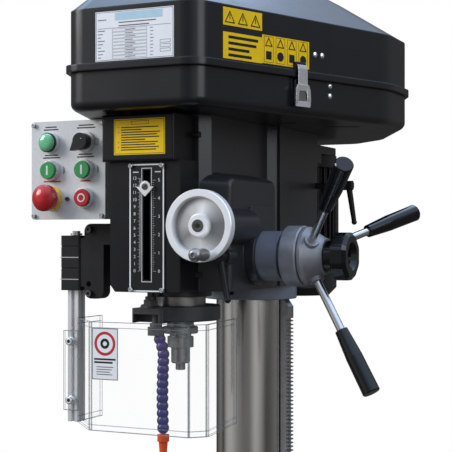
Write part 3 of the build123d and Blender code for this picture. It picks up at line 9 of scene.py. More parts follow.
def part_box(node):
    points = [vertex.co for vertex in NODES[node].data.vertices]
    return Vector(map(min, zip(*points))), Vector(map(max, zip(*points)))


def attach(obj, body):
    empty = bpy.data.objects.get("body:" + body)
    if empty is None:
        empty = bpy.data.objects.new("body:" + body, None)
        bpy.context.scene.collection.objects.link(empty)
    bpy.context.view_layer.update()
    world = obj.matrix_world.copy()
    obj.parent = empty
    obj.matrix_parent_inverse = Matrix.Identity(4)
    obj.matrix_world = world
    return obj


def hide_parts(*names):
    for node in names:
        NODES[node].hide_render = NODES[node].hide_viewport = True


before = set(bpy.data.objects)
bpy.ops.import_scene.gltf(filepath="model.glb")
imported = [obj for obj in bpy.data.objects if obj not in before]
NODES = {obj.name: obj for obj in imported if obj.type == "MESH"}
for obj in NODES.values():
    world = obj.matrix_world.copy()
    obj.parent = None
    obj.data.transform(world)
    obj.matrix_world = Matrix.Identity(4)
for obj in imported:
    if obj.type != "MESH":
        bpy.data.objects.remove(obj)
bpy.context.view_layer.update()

MM = 0.001

# Camera: metres, degrees and millimetres of lens.
CAMERA_PLACE = (0.810, -1.835, 1.380)
CAMERA_TURN = 25
CAMERA_LENS = 95.6
CAMERA_SHIFT = 0.0239
FLOOR_RADIUS = 2.6

# Studio brightness round the horizon: 0 and 1 are -X, 0.25 is -Y, 0.5 is +X.
WALL_STOPS = [(0.0, 0.26), (0.012, 0.04), (0.035, 0.05), (0.07, 0.50), (0.12, 0.62),
              (0.17, 0.40), (0.20, 0.30), (0.245, 0.20), (0.305, 0.20), (0.36, 0.62),
              (0.41, 0.36), (0.455, 0.05), (0.50, 0.10), (0.57, 0.22), (0.67, 0.16),
              (0.75, 0.05), (0.90, 0.05), (1.0, 0.26)]
# Its brightness by height, from straight down to straight up.
SKY_STOPS = [(0.0, 0.06), (0.40, 0.12), (0.55, 0.40), (0.70, (0.50, 0.60, 0.78)),
             (0.86, (1.05, 1.30, 1.70)), (1.0, (1.2, 1.45, 1.9))]
# How much WALL_STOPS counts against SKY_STOPS at each height.
WALL_SHARE = [(0.0, 0.0), (0.30, 0.25), (0.42, 1.0), (0.60, 1.0), (0.80, 0.0)]

# Places in the CAD that no frame box gives, in millimetres.
CASE_CORNER = (99.8, -407)               # start of the case's right side
CASE_RUN = (146.2, 387)                  # its run backwards
CASE_ALONG = Vector((0.35243, 0.93584, 0))
CASE_OUT = Vector((0.93584, -0.35243, 0))
WHEEL_X, WHEEL_Z = 92, 1395              # axis of the fine feed wheel
WHEEL_FRONT = -386                       # end of its hub
DIAL_RADIUS, DIAL_BACK = 31.12, -354.6
GUARD_BAR_X, GUARD_SCREW_Y = -183, -274
KNUCKLE_Y = -252
SWITCH_LEFT, SWITCH_RIGHT = -197, -137   # columns of the push buttons
START_Z, STOP_Z = 1480, 1438             # rows of the push buttons
BUTTON_FRONT = -313
LAMP_X, LAMP_Z = -198, 1522
FRONT = (0, -1, 0)

PRINT_STEP = 0.14                        # lift of a printed layer over the one below
PRINT_WALL = 0.2                         # depth of a printed shape's thin edge
SHEET_CELL = 8
SHEET_WALL = 0.25
RAY_START, RAY_LENGTH = 0.03, 0.06       # metres, how a shape is dropped on its node


# ---- camera, light and floor --------------------------------------------------------------
def make_camera():
    """Level view from the operator's right, 25 degrees off the front."""
    data = bpy.data.cameras.new("camera")
    data.sensor_width = 36
    data.lens = CAMERA_LENS
    data.shift_y = CAMERA_SHIFT
    data.clip_end = 60
    camera = bpy.data.objects.new("camera", data)
    camera.location = CAMERA_PLACE
    camera.rotation_euler = (radians(90), 0, radians(CAMERA_TURN))
    bpy.context.collection.objects.link(camera)
    bpy.context.scene.camera = camera


def area_light(name, location, target, size, power, color=(1, 1, 1)):
    """A rectangular soft box that faces a target point."""
    data = bpy.data.lights.new(name, "AREA")
    data.shape = "RECTANGLE"
    data.size, data.size_y = size
    data.energy = power
    data.color = color
    light = bpy.data.objects.new(name, data)
    light.location = location
    aim = Vector(target) - Vector(location)
    light.rotation_euler = aim.to_track_quat("-Z", "Y").to_euler()
    bpy.context.collection.objects.link(light)


def ramp(tree, source, stops):
    """A colour ramp fed by source; stops are (place, grey or colour)."""
    node = tree.nodes.new("ShaderNodeValToRGB")
    tree.links.new(source, node.inputs["Fac"])
    elements = node.color_ramp.elements
    while len(elements) < len(stops):
        elements.new(0.5)
    for element, (place, shade) in zip(elements, stops):
        element.position = place
        element.color = (shade, shade, shade, 1) if isinstance(shade, float) else (*shade, 1)
    return node.outputs["Color"]


def spread(tree, source, low, high, to_low=0.0, to_high=1.0):
    """Maps source from low..high to to_low..to_high, clamped."""
    node = tree.nodes.new("ShaderNodeMapRange")
    node.inputs["From Min"].default_value = low
    node.inputs["From Max"].default_value = high
    node.inputs["To Min"].default_value = to_low
    node.inputs["To Max"].default_value = to_high
    tree.links.new(source, node.inputs["Value"])
    return node.outputs["Result"]


def compute(tree, kind, first, second):
    """A math node of two fed values."""
    node = tree.nodes.new("ShaderNodeMath")
    node.operation = kind
    tree.links.new(first, node.inputs[0])
    tree.links.new(second, node.inputs[1])
    return node.outputs["Value"]


def blend(tree, factor, first, second):
    """Mixes two colours; each is an output socket or an (r, g, b)."""
    node = tree.nodes.new("ShaderNodeMix")
    node.data_type = "RGBA"
    tree.links.new(factor, node.inputs["Factor"])
    for name, color in (("A", first), ("B", second)):
        if isinstance(color, bpy.types.NodeSocket):
            tree.links.new(color, node.inputs[name])
        else:
            node.inputs[name].default_value = (*color, 1)
    return node.outputs["Result"]


def shades(color, factor):
    """A colour made brighter or darker."""
    return [min(c * factor, 1) for c in color]


def make_world():
    """White surroundings behind the machine; a graded studio of soft boxes in its reflections."""
    world = bpy.data.worlds.new("world")
    world.use_nodes = True
    tree = world.node_tree
    nodes, links = tree.nodes, tree.links
    studio = nodes["Background"]
    place = nodes.new("ShaderNodeTexCoord")
    split = nodes.new("ShaderNodeSeparateXYZ")
    links.new(place.outputs["Generated"], split.inputs["Vector"])
    turn = compute(tree, "ARCTAN2", split.outputs["Y"], split.outputs["X"])
    band = ramp(tree, spread(tree, turn, -pi, pi), WALL_STOPS)
    height = spread(tree, split.outputs["Z"], -1, 1)
    sky = ramp(tree, height, SKY_STOPS)
    share = ramp(tree, height, WALL_SHARE)
    links.new(blend(tree, share, sky, band), studio.inputs["Color"])
    white = nodes.new("ShaderNodeBackground")
    white.inputs["Color"].default_value = (1, 1, 1, 1)
    path = nodes.new("ShaderNodeLightPath")
    choose = nodes.new("ShaderNodeMixShader")
    links.new(path.outputs["Is Camera Ray"], choose.inputs["Fac"])
    links.new(studio.outputs["Background"], choose.inputs[1])
    links.new(white.outputs["Background"], choose.inputs[2])
    links.new(choose.outputs["Shader"], nodes["World Output"].inputs["Surface"])
    bpy.context.scene.world = world


def make_surroundings():
    """A pale floor and soft boxes round the machine."""
    make_world()
    mesh = bpy.data.meshes.new("floor")
    bm = bmesh.new()
    bmesh.ops.create_circle(bm, cap_ends=True, segments=96, radius=FLOOR_RADIUS)
    bm.to_mesh(mesh)
    bm.free()
    floor = bpy.data.objects.new("floor", mesh)
    bpy.context.collection.objects.link(floor)
    floor.visible_diffuse = False
    floor.visible_glossy = False
    paint = bpy.data.materials.new("floor_paint")
    paint.use_nodes = True
    shader = paint.node_tree.nodes["Principled BSDF"]
    shader.inputs["Base Color"].default_value = (0.70, 0.70, 0.69, 1)
    shader.inputs["Roughness"].default_value = 0.7
    mesh.materials.append(paint)
    area_light("key", (-3.4, -2.5, 3.5), (0, -0.2, 1.3), (2.0, 2.0), 150)
    area_light("side", (3.4, -1.4, 2.6), (0, 0, 1.3), (2.0, 2.0), 34, (0.92, 0.96, 1.0))
    area_light("overhead", (-0.6, 0.9, 4.6), (0, 0, 1.6), (3.0, 3.0), 80, (0.50, 0.68, 1.0))


# ---- materials ----------------------------------------------------------------------------
def worn_edges(tree, rounded, patches, paint, color, wear):
    """Lightens the finish in patches along edges, where the rounded normal leaves the face's."""
    face = tree.nodes.new("ShaderNodeNewGeometry")
    turn = tree.nodes.new("ShaderNodeVectorMath")
    turn.operation = "DOT_PRODUCT"
    tree.links.new(rounded, turn.inputs[0])
    tree.links.new(face.outputs["Normal"], turn.inputs[1])
    edge = spread(tree, turn.outputs["Value"], 0.985, 0.86)
    patch = spread(tree, patches, 0.38, 0.62, 0, wear)
    bare = [min(c * 2.5 + 0.08, 1) for c in color]
    return blend(tree, compute(tree, "MULTIPLY", edge, patch), paint, bare)


def material(name, color, metallic=0.0, rough=0.4, rough_spread=0.08, tint=0.08, grain=60,
             bump=0.1, bump_scale=900, stretch=(1, 1, 1), round_edge=0.0006, coat=0.0,
             coat_rough=0.1, specular=0.4, alpha=1.0, wear=0.0):
    """A procedural finish: uneven colour and gloss, fine bump, and softly broken edges."""
    made = bpy.data.materials.new(name)
    made.use_nodes = True
    tree = made.node_tree
    nodes, links = tree.nodes, tree.links
    shader = nodes["Principled BSDF"]
    place = nodes.new("ShaderNodeTexCoord")
    mapping = nodes.new("ShaderNodeMapping")
    mapping.inputs["Scale"].default_value = stretch
    links.new(place.outputs["Object"], mapping.inputs["Vector"])
    cloud = nodes.new("ShaderNodeTexNoise")
    cloud.inputs["Scale"].default_value = grain
    cloud.inputs["Detail"].default_value = 5
    links.new(mapping.outputs["Vector"], cloud.inputs["Vector"])
    patches = cloud.outputs["Fac"]
    paint = blend(tree, spread(tree, patches, 0.3, 0.7), shades(color, 1 - tint),
                  shades(color, 1 + tint))
    gloss = spread(tree, patches, 0, 1, max(rough - rough_spread, 0.02),
                   min(rough + rough_spread, 1))
    links.new(gloss, shader.inputs["Roughness"])
    fine = nodes.new("ShaderNodeTexNoise")
    fine.inputs["Scale"].default_value = bump_scale
    fine.inputs["Detail"].default_value = 2
    links.new(mapping.outputs["Vector"], fine.inputs["Vector"])
    relief = nodes.new("ShaderNodeBump")
    relief.inputs["Strength"].default_value = bump
    relief.inputs["Distance"].default_value = 0.0004
    links.new(fine.outputs["Fac"], relief.inputs["Height"])
    if round_edge:
        soft = nodes.new("ShaderNodeBevel")
        soft.samples = 4
        soft.inputs["Radius"].default_value = round_edge
        links.new(soft.outputs["Normal"], relief.inputs["Normal"])
        if wear:
            paint = worn_edges(tree, soft.outputs["Normal"], patches, paint, color, wear)
    links.new(paint, shader.inputs["Base Color"])
    links.new(relief.outputs["Normal"], shader.inputs["Normal"])
    shader.inputs["Metallic"].default_value = metallic
    shader.inputs["Coat Weight"].default_value = coat
    shader.inputs["Coat Roughness"].default_value = coat_rough
    shader.inputs["Specular IOR Level"].default_value = specular
    shader.inputs["Alpha"].default_value = alpha
    return made


def hose_material():
    """Blue-violet hose plastic, redder towards the grey swivel fitting at its top."""
    made = material("hose", (0.05, 0.03, 0.30), rough=0.33, bump=0.03, bump_scale=300,
                    round_edge=0)
    tree = made.node_tree
    place = tree.nodes.new("ShaderNodeTexCoord")
    split = tree.nodes.new("ShaderNodeSeparateXYZ")
    tree.links.new(place.outputs["Object"], split.inputs["Vector"])
    shade = ramp(tree, spread(tree, split.outputs["Z"], 1.1, 1.26),
                 [(0.0, (0.012, 0.009, 0.135)), (0.45, (0.022, 0.010, 0.125)),
                  (0.80, (0.062, 0.020, 0.145)), (0.862, (0.060, 0.020, 0.13)),
                  (0.875, (0.075, 0.068, 0.066)), (1.0, (0.085, 0.08, 0.078))])
    tree.links.new(shade, tree.nodes["Principled BSDF"].inputs["Base Color"])
    return made


def wheel_material():
    """Turned aluminium: a bright hub and rim, and a web painted with light and dark fans round the
    axis: painted highlights standing for the sheen of the turned finish.
    """
    made = material("wheel", (0.8, 0.8, 0.81), metallic=0.45, rough=0.36, rough_spread=0.05,
                    tint=0.03, grain=90, bump=0.03, round_edge=0)
    tree = made.node_tree
    nodes, links = tree.nodes, tree.links
    shader = nodes["Principled BSDF"]
    place = nodes.new("ShaderNodeTexCoord")
    centre = nodes.new("ShaderNodeVectorMath")
    centre.operation = "SUBTRACT"
    centre.inputs[1].default_value = (WHEEL_X * MM, 0, WHEEL_Z * MM)
    links.new(place.outputs["Object"], centre.inputs[0])
    flat = nodes.new("ShaderNodeVectorMath")
    flat.operation = "MULTIPLY"
    flat.inputs[1].default_value = (1, 0, 1)
    links.new(centre.outputs["Vector"], flat.inputs[0])
    radius = nodes.new("ShaderNodeVectorMath")
    radius.operation = "LENGTH"
    links.new(flat.outputs["Vector"], radius.inputs[0])
    split = nodes.new("ShaderNodeSeparateXYZ")
    links.new(centre.outputs["Vector"], split.inputs["Vector"])
    turn = compute(tree, "ARCTAN2", split.outputs["Z"], split.outputs["X"])
    # Painted highlight: light and dark sectors by angle round the wheel's axis, in the web's
    # colour.
    painted_highlight_fans = ramp(tree, spread(tree, turn, -pi, pi),
                [(0.0, 0.40), (0.10, 0.26), (0.18, 0.60), (0.26, 0.86), (0.34, 0.50),
                 (0.42, 0.28), (0.52, 0.24), (0.62, 0.50), (0.72, 0.80), (0.80, 0.44),
                 (0.90, 0.30), (1.0, 0.40)])
    web = ramp(tree, spread(tree, radius.outputs["Value"], 0, 0.05),
               [(0.0, 0.0), (0.30, 0.0), (0.36, 1.0), (0.74, 1.0), (0.79, 0.0), (1.0, 0.0)])
    links.new(blend(tree, web, (0.93, 0.93, 0.94), painted_highlight_fans), shader.inputs["Base Color"])
    return made


FINISHES = {
    "enamel": dict(color=(0.0225, 0.0235, 0.0262), rough=0.34, rough_spread=0.08, tint=0.10,
                   grain=14, bump=0.16, bump_scale=240, coat=0.12, coat_rough=0.22,
                   round_edge=0.0022, specular=0.42, wear=0.4),
    "case": dict(color=(0.0080, 0.0083, 0.0095), rough=0.30, rough_spread=0.05, tint=0.08,
                 grain=20, bump=0.08, bump_scale=500, coat=0.16, coat_rough=0.2,
                 round_edge=0.003, specular=0.38),
    "housing": dict(color=(0.0060, 0.0062, 0.0068), rough=0.34, rough_spread=0.06, tint=0.10,
                    grain=18, bump=0.12, bump_scale=420, coat=0.05, round_edge=0.003,
                    specular=0.26),
    "sleeve": dict(color=(0.16, 0.175, 0.215), rough=0.38, tint=0.12, grain=22, bump=0.18,
                   bump_scale=320, coat=0.2, coat_rough=0.25, round_edge=0.002, wear=0.3),
    "cast": dict(color=(0.27, 0.275, 0.30), metallic=0.45, rough=0.46, tint=0.16, grain=45,
                 bump=0.30, bump_scale=420, round_edge=0.0016, wear=0.6),
    "table": dict(color=(0.36, 0.355, 0.35), metallic=0.9, rough=0.34, tint=0.10, grain=26,
                  bump=0.14, bump_scale=600, stretch=(1, 14, 1), round_edge=0.0012, wear=0.6),
    "ground": dict(color=(0.56, 0.548, 0.525), metallic=1.0, rough=0.20, rough_spread=0.05,
                   tint=0.05, grain=30, bump=0.05, bump_scale=500, stretch=(1, 1, 0.2)),
    "bright": dict(color=(0.60, 0.60, 0.60), metallic=1.0, rough=0.22, rough_spread=0.04,
                   tint=0.06, grain=50, bump=0.03, bump_scale=200, round_edge=0),
    "nickel": dict(color=(0.30, 0.295, 0.285), metallic=0.9, rough=0.34, tint=0.14, grain=90,
                   bump=0.05, bump_scale=300),
    "rack": dict(color=(0.42, 0.42, 0.42), metallic=0.95, rough=0.36, tint=0.12, grain=80,
                 bump=0.12, bump_scale=600),
    "dull": dict(color=(0.10, 0.098, 0.095), metallic=0.85, rough=0.42, tint=0.2, grain=70,
                 bump=0.2, bump_scale=600),
    "collar": dict(color=(0.052, 0.053, 0.056), metallic=0.2, rough=0.42, tint=0.2, grain=40,
                   bump=0.3, bump_scale=500, round_edge=0.0014, wear=0.5),
    "chrome": dict(color=(0.88, 0.88, 0.89), metallic=0.9, rough=0.24, rough_spread=0.04,
                   tint=0.03, bump=0.03, bump_scale=200, round_edge=0.0004),
    "turned": dict(color=(0.78, 0.78, 0.79), metallic=1.0, rough=0.26, rough_spread=0.05,
                   tint=0.04, grain=120, bump=0.03, round_edge=0),
    "gloss_black": dict(color=(0.0035, 0.0037, 0.0046), rough=0.14, rough_spread=0.02,
                        tint=0.05, bump=0.012, bump_scale=60, coat=0.15, round_edge=0,
                        specular=0.35),
    "matte_black": dict(color=(0.013, 0.013, 0.0135), rough=0.42, bump=0.15, bump_scale=700,
                        round_edge=0.0008, specular=0.25, wear=0.3),
    "rubber": dict(color=(0.015, 0.015, 0.015), rough=0.7, bump=0.3),
    "silver": dict(color=(0.62, 0.62, 0.615), metallic=0.1, rough=0.45, tint=0.04, grain=200,
                   bump=0.10, bump_scale=1500),
    "red": dict(color=(0.46, 0.014, 0.017), rough=0.24, bump=0.04, coat=0.25),
    "green": dict(color=(0.035, 0.29, 0.085), rough=0.26, bump=0.04, coat=0.25),
    "green_lens": dict(color=(0.16, 0.52, 0.26), rough=0.16, bump=0.08, bump_scale=260,
                       coat=0.5),
    "dark_green": dict(color=(0.006, 0.040, 0.020), rough=0.3, bump=0.03),
    "bezel": dict(color=(0.74, 0.74, 0.75), metallic=0.6, rough=0.3, bump=0.05),
    "orange": dict(color=(0.72, 0.085, 0.018), rough=0.34, bump=0.06, bump_scale=400),
    "profile": dict(color=(0.86, 0.86, 0.87), metallic=0.8, rough=0.36, tint=0.05, grain=40,
                    bump=0.10, bump_scale=700, stretch=(8, 8, 0.5)),
    "plate_black": dict(color=(0.006, 0.006, 0.0065), rough=0.36, bump=0.05, bump_scale=500,
                        specular=0.35),
    "label_silver": dict(color=(0.80, 0.81, 0.83), rough=0.45, tint=0.03, bump=0.03,
                         round_edge=0),
    "label_band": dict(color=(0.42, 0.60, 0.70), rough=0.4, tint=0.04, bump=0.02,
                       round_edge=0),
    "label_yellow": dict(color=(0.90, 0.58, 0.008), rough=0.5, specular=0.2, tint=0.05,
                         bump=0.03, round_edge=0),
    "label_white": dict(color=(0.80, 0.80, 0.80), rough=0.42, tint=0.03, bump=0.02,
                        round_edge=0),
    # Black print; also painted shade in the screw sockets and the pointer screw's slot.
    "black_ink_and_painted_shade": dict(color=(0.010, 0.010, 0.010), rough=0.5, bump=0.02, round_edge=0,
                      specular=0.3),
    "ink_grey": dict(color=(0.14, 0.14, 0.15), rough=0.5, bump=0.02, round_edge=0,
                     specular=0.3),
    "ink_white": dict(color=(0.66, 0.66, 0.65), rough=0.5, bump=0.02, round_edge=0,
                      specular=0.3),
    "ink_red": dict(color=(0.50, 0.030, 0.030), rough=0.5, bump=0.02, round_edge=0,
                    specular=0.3),
    "ink_green": dict(color=(0.04, 0.30, 0.10), rough=0.5, bump=0.02, round_edge=0,
                      specular=0.3),
    # Painted highlight: grey for the light the clear guard's edges, folds and level lines catch.
    "guard_edge": dict(color=(0.20, 0.23, 0.235), rough=0.2, bump=0.02, round_edge=0,
                       alpha=0.60),
    "clear": dict(color=(0.62, 0.70, 0.72), rough=0.06, rough_spread=0.03, tint=0.03,
                  bump=0.02, round_edge=0, alpha=0.028),
}


def make_materials():
    """Every finish on the machine, by name."""
    made = {name: material(name, **recipe) for name, recipe in FINISHES.items()}
    made["hose"] = hose_material()
    made["wheel"] = wheel_material()
    return made


NODES_BY_FINISH = {
    "enamel": ("base_plate column_flange table_bracket table_arm head_casting spring_case"
               " motor_plate"),
    "case": "motor belt_case_pan belt_case_lid",
    "housing": "scale_housing",
    "sleeve": "feed_sleeve rack_collar",
    "cast": "clutch_ring capstan_hub",
    "table": "table_top",
    "ground": "column_tube",
    "bright": ("flange_bolts table_crank spindle_bearings feed_shaft lever_rods"
               " worm_shaft"),
    "rack": "table_rack",
    "dull": "lift_gear table_clamp_lever depth_rod cap_screws worm_wheel",
    "collar": "quill_collar",
    "nickel": "spindle arbor handwheel_knob quill",
    "profile": "depth_pointer guard_profile",
    "turned": "spindle_pulley idler_pulley motor_pulley",
    "wheel": "handwheel",
    "gloss_black": "crank_grip lever_grips clutch_knob",
    "matte_black": "quill_lock_lever motor_lock_lever guard_bracket selector_knob",
    "rubber": "drive_belts",
    "silver": "control_box control_plate",
    "red": "red_button stop_mushroom",
    "green": "green_button_left green_button_right",
    "bezel": "switch_bezels",
    "hose": "coolant_hose",
    "orange": "coolant_nozzle",
    "plate_black": "scale_plate",
    "chrome": "lid_latch",
    "clear": "guard_shield",
}


def paint_nodes():
    """Gives each CAD node its finish."""
    for finish, names in NODES_BY_FINISH.items():
        for name in names.split():
            slots = NODES[name].material_slots
            if not slots:
                NODES[name].data.materials.append(materials[finish])
            for slot in slots:
                slot.material = materials[finish]


# ---- mesh helpers -------------------------------------------------------------------------
def walls(bm, low, high):
    """Joins two loops of vertices with a band of faces."""
    return [bm.faces.new(corners)
            for corners in zip(low, low[1:] + low[:1], high[1:] + high[:1], high)]


def add_piece(name, bm, inks, body):
    """Turns a bmesh into a piece with its finishes, riding on a body."""
    bmesh.ops.recalc_face_normals(bm, faces=bm.faces)
    mesh = bpy.data.meshes.new(name)
    bm.to_mesh(mesh)
    bm.free()
    for ink in inks:
        mesh.materials.append(materials[ink])
    piece = bpy.data.objects.new(name, mesh)
    bpy.context.collection.objects.link(piece)
    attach(piece, body)
    return piece


def smooth(piece, angle=35):
    """Shades a piece smooth up to an angle between its faces."""
    for polygon in piece.data.polygons:
        polygon.use_smooth = True
    piece.data.set_sharp_from_angle(angle=radians(angle))


# ---- printed plates -----------------------------------------------------------------------
class Print:
    """Thin printed shapes laid on the face of a CAD node, gathered in one mesh.

    A shape is placed in a frame (origin, right, up) in millimetres and dropped on the node's
    surface along the frame's normal, so that it lies on drafted and folded walls too.
    """

    def __init__(self, name, node, origin, right, up=(0, 0, 1)):
        self.name = name
        self.mesh = bmesh.new()
        self.inks = []
        self.origin = Vector(origin) * MM
        self.right = Vector(right).normalized()
        self.up = Vector(up).normalized()
        self.out = self.right.cross(self.up)
        self.limit = None    # if set, no shape stands out further than this
        source = NODES[node].data
        self.tree = BVHTree.FromPolygons([v.co.copy() for v in source.vertices],
                                         [list(p.vertices) for p in source.polygons])

    def place(self, u, v, height):
        """The point above (u, v) that lies height millimetres off the surface."""
        flat = self.origin + (self.right * u + self.up * v) * MM
        hit = self.tree.ray_cast(flat + self.out * RAY_START, -self.out, RAY_LENGTH)[0] or flat
        if self.limit is not None:
            hit -= self.out * max(self.depth(hit) - self.limit, 0)
        return hit + self.out * height * MM

    def depth(self, point):
        """How far a point stands out from the frame's plane."""
        return (point - self.origin).dot(self.out)

    def ink(self, faces, name):
        """Gives faces a finish, which joins the piece's list if it's new."""
        if name not in self.inks:
            self.inks.append(name)
        for face in faces:
            face.material_index = self.inks.index(name)

    def shape(self, points, ink, layer=1):
        """A closed shape with a thin edge all round; layer lifts it over the ones below."""
        height = PRINT_STEP * layer
        top = [self.mesh.verts.new(self.place(u, v, height)) for u, v in points]
        low = [self.mesh.verts.new(self.place(u, v, height - PRINT_WALL)) for u, v in points]
        self.ink([self.mesh.faces.new(top)] + walls(self.mesh, low, top), ink)

    def rect(self, u0, v0, u1, v1, ink, layer=1):
        """A printed rectangle between two corners."""
        self.shape([(u0, v0), (u1, v0), (u1, v1), (u0, v1)], ink, layer)

    def border(self, u0, v0, u1, v1, width, ink, layer=2):
        """A printed frame just inside a rectangle."""
        self.rect(u0, v0, u1, v0 + width, ink, layer)
        self.rect(u0, v1 - width, u1, v1, ink, layer)
        self.rect(u0, v0 + width, u0 + width, v1 - width, ink, layer)
        self.rect(u1 - width, v0 + width, u1, v1 - width, ink, layer)

    def sheet(self, u0, v0, u1, v1, ink):
        """A label's ground, in cells small enough to follow a curved wall."""
        columns = max(int((u1 - u0) / SHEET_CELL), 1)
        rows = max(int((v1 - v0) / SHEET_CELL), 1)
        grid = [[self.mesh.verts.new(self.place(u0 + (u1 - u0) * i / columns,
                                                v0 + (v1 - v0) * j / rows, PRINT_STEP))
                 for i in range(columns + 1)] for j in range(rows + 1)]
        faces = [self.mesh.faces.new((low[i], low[i + 1], high[i + 1], high[i]))
                 for low, high in zip(grid, grid[1:]) for i in range(columns)]
        edge = (grid[0][:-1] + [row[-1] for row in grid[:-1]] + grid[-1][:0:-1]
                + [row[0] for row in grid[:0:-1]])
        low = [self.mesh.verts.new(v.co - self.out * SHEET_WALL * MM) for v in edge]
        self.ink(faces + walls(self.mesh, low, edge), ink)

    def ring(self, u, v, outer, inner, ink, layer=2, count=36):
        """A printed ring, or a disc when inner is zero."""
        turns = [2 * pi * i / count for i in range(count)]
        rim = [(u + outer * cos(t), v + outer * sin(t)) for t in turns]
        if not inner:
            self.shape(rim, ink, layer)
            return
        hole = [(u + inner * cos(t), v + inner * sin(t)) for t in turns]
        for i in range(count):
            j = (i + 1) % count
            self.shape([rim[i], rim[j], hole[j], hole[i]], ink, layer)

    def triangle(self, u, v, size, width, ink, layer=2):
        """A hollow triangle, point up."""
        outer = [(u - size / 2, v), (u + size / 2, v), (u, v + size * 0.87)]
        middle = Vector((u, v + size * 0.29))
        inner = [tuple(middle + (Vector(p) - middle) * (1 - 3.6 * width / size)) for p in outer]
        for i in range(3):
            j = (i + 1) % 3
            self.shape([outer[i], outer[j], inner[j], inner[i]], ink, layer)

    def text_bars(self, u0, u1, v, lengths, pitch, height, ink, layer=2):
        """Rows of plain bars where a plate has lines of text; lengths are 0 to 1."""
        for row, length in enumerate(lengths):
            low = v - row * pitch
            self.rect(u0, low, u0 + (u1 - u0) * length, low + height, ink, layer)

    def number(self, value, u, v, size, ink, layer=2):
        """A number centred on (u, v)."""
        curve = bpy.data.curves.new("digits", "FONT")
        curve.body = str(value)
        curve.size = size
        curve.align_x, curve.align_y = "CENTER", "CENTER"
        curve.extrude = 0.07
        holder = bpy.data.objects.new("digits", curve)
        bpy.context.collection.objects.link(holder)
        bpy.context.view_layer.update()
        flat = bpy.data.meshes.new_from_object(
            holder.evaluated_get(bpy.context.evaluated_depsgraph_get()))
        points = [self.mesh.verts.new(self.place(u + p.co.x, v + p.co.y,
                                                 PRINT_STEP * layer + p.co.z))
                  for p in flat.vertices]
        self.ink([self.mesh.faces.new([points[i] for i in polygon.vertices])
                  for polygon in flat.polygons], ink)
        bpy.data.objects.remove(holder)
        bpy.data.curves.remove(curve)
        bpy.data.meshes.remove(flat)

    def finish(self, body, slot):
        """Makes the piece from all the shapes so far."""
        add_piece(self.name, self.mesh, self.inks, body)


def scale_print():
    """Depth scale: centimetres on the left, inches on the right, light lines on black."""
    scale = Print("scale_print", "scale_plate", (0, -360.5, 0), (1, 0, 0))
    low, high = 1332, 1462
    scale.border(-27.4, 1303, 27.4, 1482, 1.9, "label_silver")
    scale.border(-8.2, 1316.6, 8.2, 1476.4, 0.9, "ink_white")
    for step in range(131):
        reach = 5.0 if step % 10 == 0 else 3.6 if step % 5 == 0 else 2.2
        scale.rect(-9.4 - reach, low + step - 0.17, -9.4, low + step + 0.17, "ink_white")
    for mark in range(14):
        scale.number(mark, -19.2, low + mark * 10, 6.6, "ink_white")
    for step in range(41):
        z = low + step * 25.4 / 8
        reach = 5.0 if step % 8 == 0 else 3.6 if step % 4 == 0 else 2.2
        scale.rect(9.4, z - 0.17, 9.4 + reach, z + 0.17, "ink_white")
    for mark in range(6):
        scale.number(mark, 19.6, low + mark * 25.4, 6.6, "ink_white")
    scale.rect(-22, high + 8, -13, high + 9.4, "ink_white")
    scale.rect(13, high + 8, 22, high + 9.4, "ink_white")
    scale.finish("base", "scale_black")


def name_plate():
    """Blank rating plate on the front of the lid: a header band, rows of bars and boxes."""
    plate = Print("rating_plate", "belt_case_lid", (6, -407, 1655.8), (1, 0, 0))
    plate.sheet(-61, -34.2, 61, 34.2, "label_silver")
    plate.border(-60, -33.2, 60, 33.2, 0.6, "ink_grey")
    plate.rect(-30, 21, 44, 31.5, "label_band", 2)
    plate.text_bars(-24, 34, 17, (1.0, 0.82), 4.6, 1.5, "ink_grey")
    plate.text_bars(-57, -40, 22, (0.8,), 5, 1.2, "ink_grey")
    plate.rect(-57, 10.5, 57, 11.0, "ink_grey", 2)
    for row in range(9):
        v = 7.0 - row * 4.6
        plate.rect(-57, v, -46 - 3 * (row % 3), v + 1.1, "ink_grey", 2)
        plate.border(-34, v - 1.5, 20, v + 2.3, 0.3, "ink_grey", 2)
        plate.rect(-14, v, 2 - 4 * (row % 2), v + 0.9, "ink_grey", 3)
        plate.rect(25, v, 29 + row % 2, v + 0.9, "ink_grey", 2)
    for v in (-12, -18, -24):
        plate.border(40, v - 2.2, 56, v + 2.2, 0.5, "ink_grey", 2)
    plate.finish("lid", "panel_silver")


def lid_sticker():
    """Yellow L-shaped sticker on the right of the lid: blank triangles, squares and bars."""
    sticker = Print("lid_sticker", "belt_case_lid", (*CASE_CORNER, 0), (*CASE_RUN, 0))
    left, corner, right = 50.5, 126.7, 225.6
    sticker.limit = sticker.depth(sticker.place(corner, 1660, 0))    # so it runs behind the strike
    sticker.sheet(left, 1623, corner, 1693, "label_yellow")
    sticker.sheet(corner, 1624, right, 1664, "label_yellow")
    sticker.rect(left, 1659.5, corner, 1668.5, "black_ink_and_painted_shade", 2)
    for column in range(3):
        sticker.triangle(left + 13 + column * 25, 1672, 20, 1.5, "black_ink_and_painted_shade")
        sticker.rect(left + 12.2 + column * 25, 1677, left + 13.8 + column * 25, 1684,
                     "black_ink_and_painted_shade", 2)
    sticker.text_bars(left + 10, corner - 8, 1651, (1.0, 0.94, 0.7, 0.78), 8.2, 4.0,
                      "black_ink_and_painted_shade")
    for column in range(4):
        u = corner + 13.5 + column * 24
        sticker.triangle(u, 1648.5, 15, 1.2, "black_ink_and_painted_shade", 4)
        sticker.border(u - 9.5, 1626, u + 9.5, 1662.5, 0.4, "black_ink_and_painted_shade", 3)
        if column % 2:
            sticker.ring(u, 1636, 6.5, 0, "black_ink_and_painted_shade", 4)
        else:
            sticker.rect(u - 5.5, 1630, u + 5.5, 1641.5, "black_ink_and_painted_shade", 4)
    sticker.finish("lid", "panel_silver")


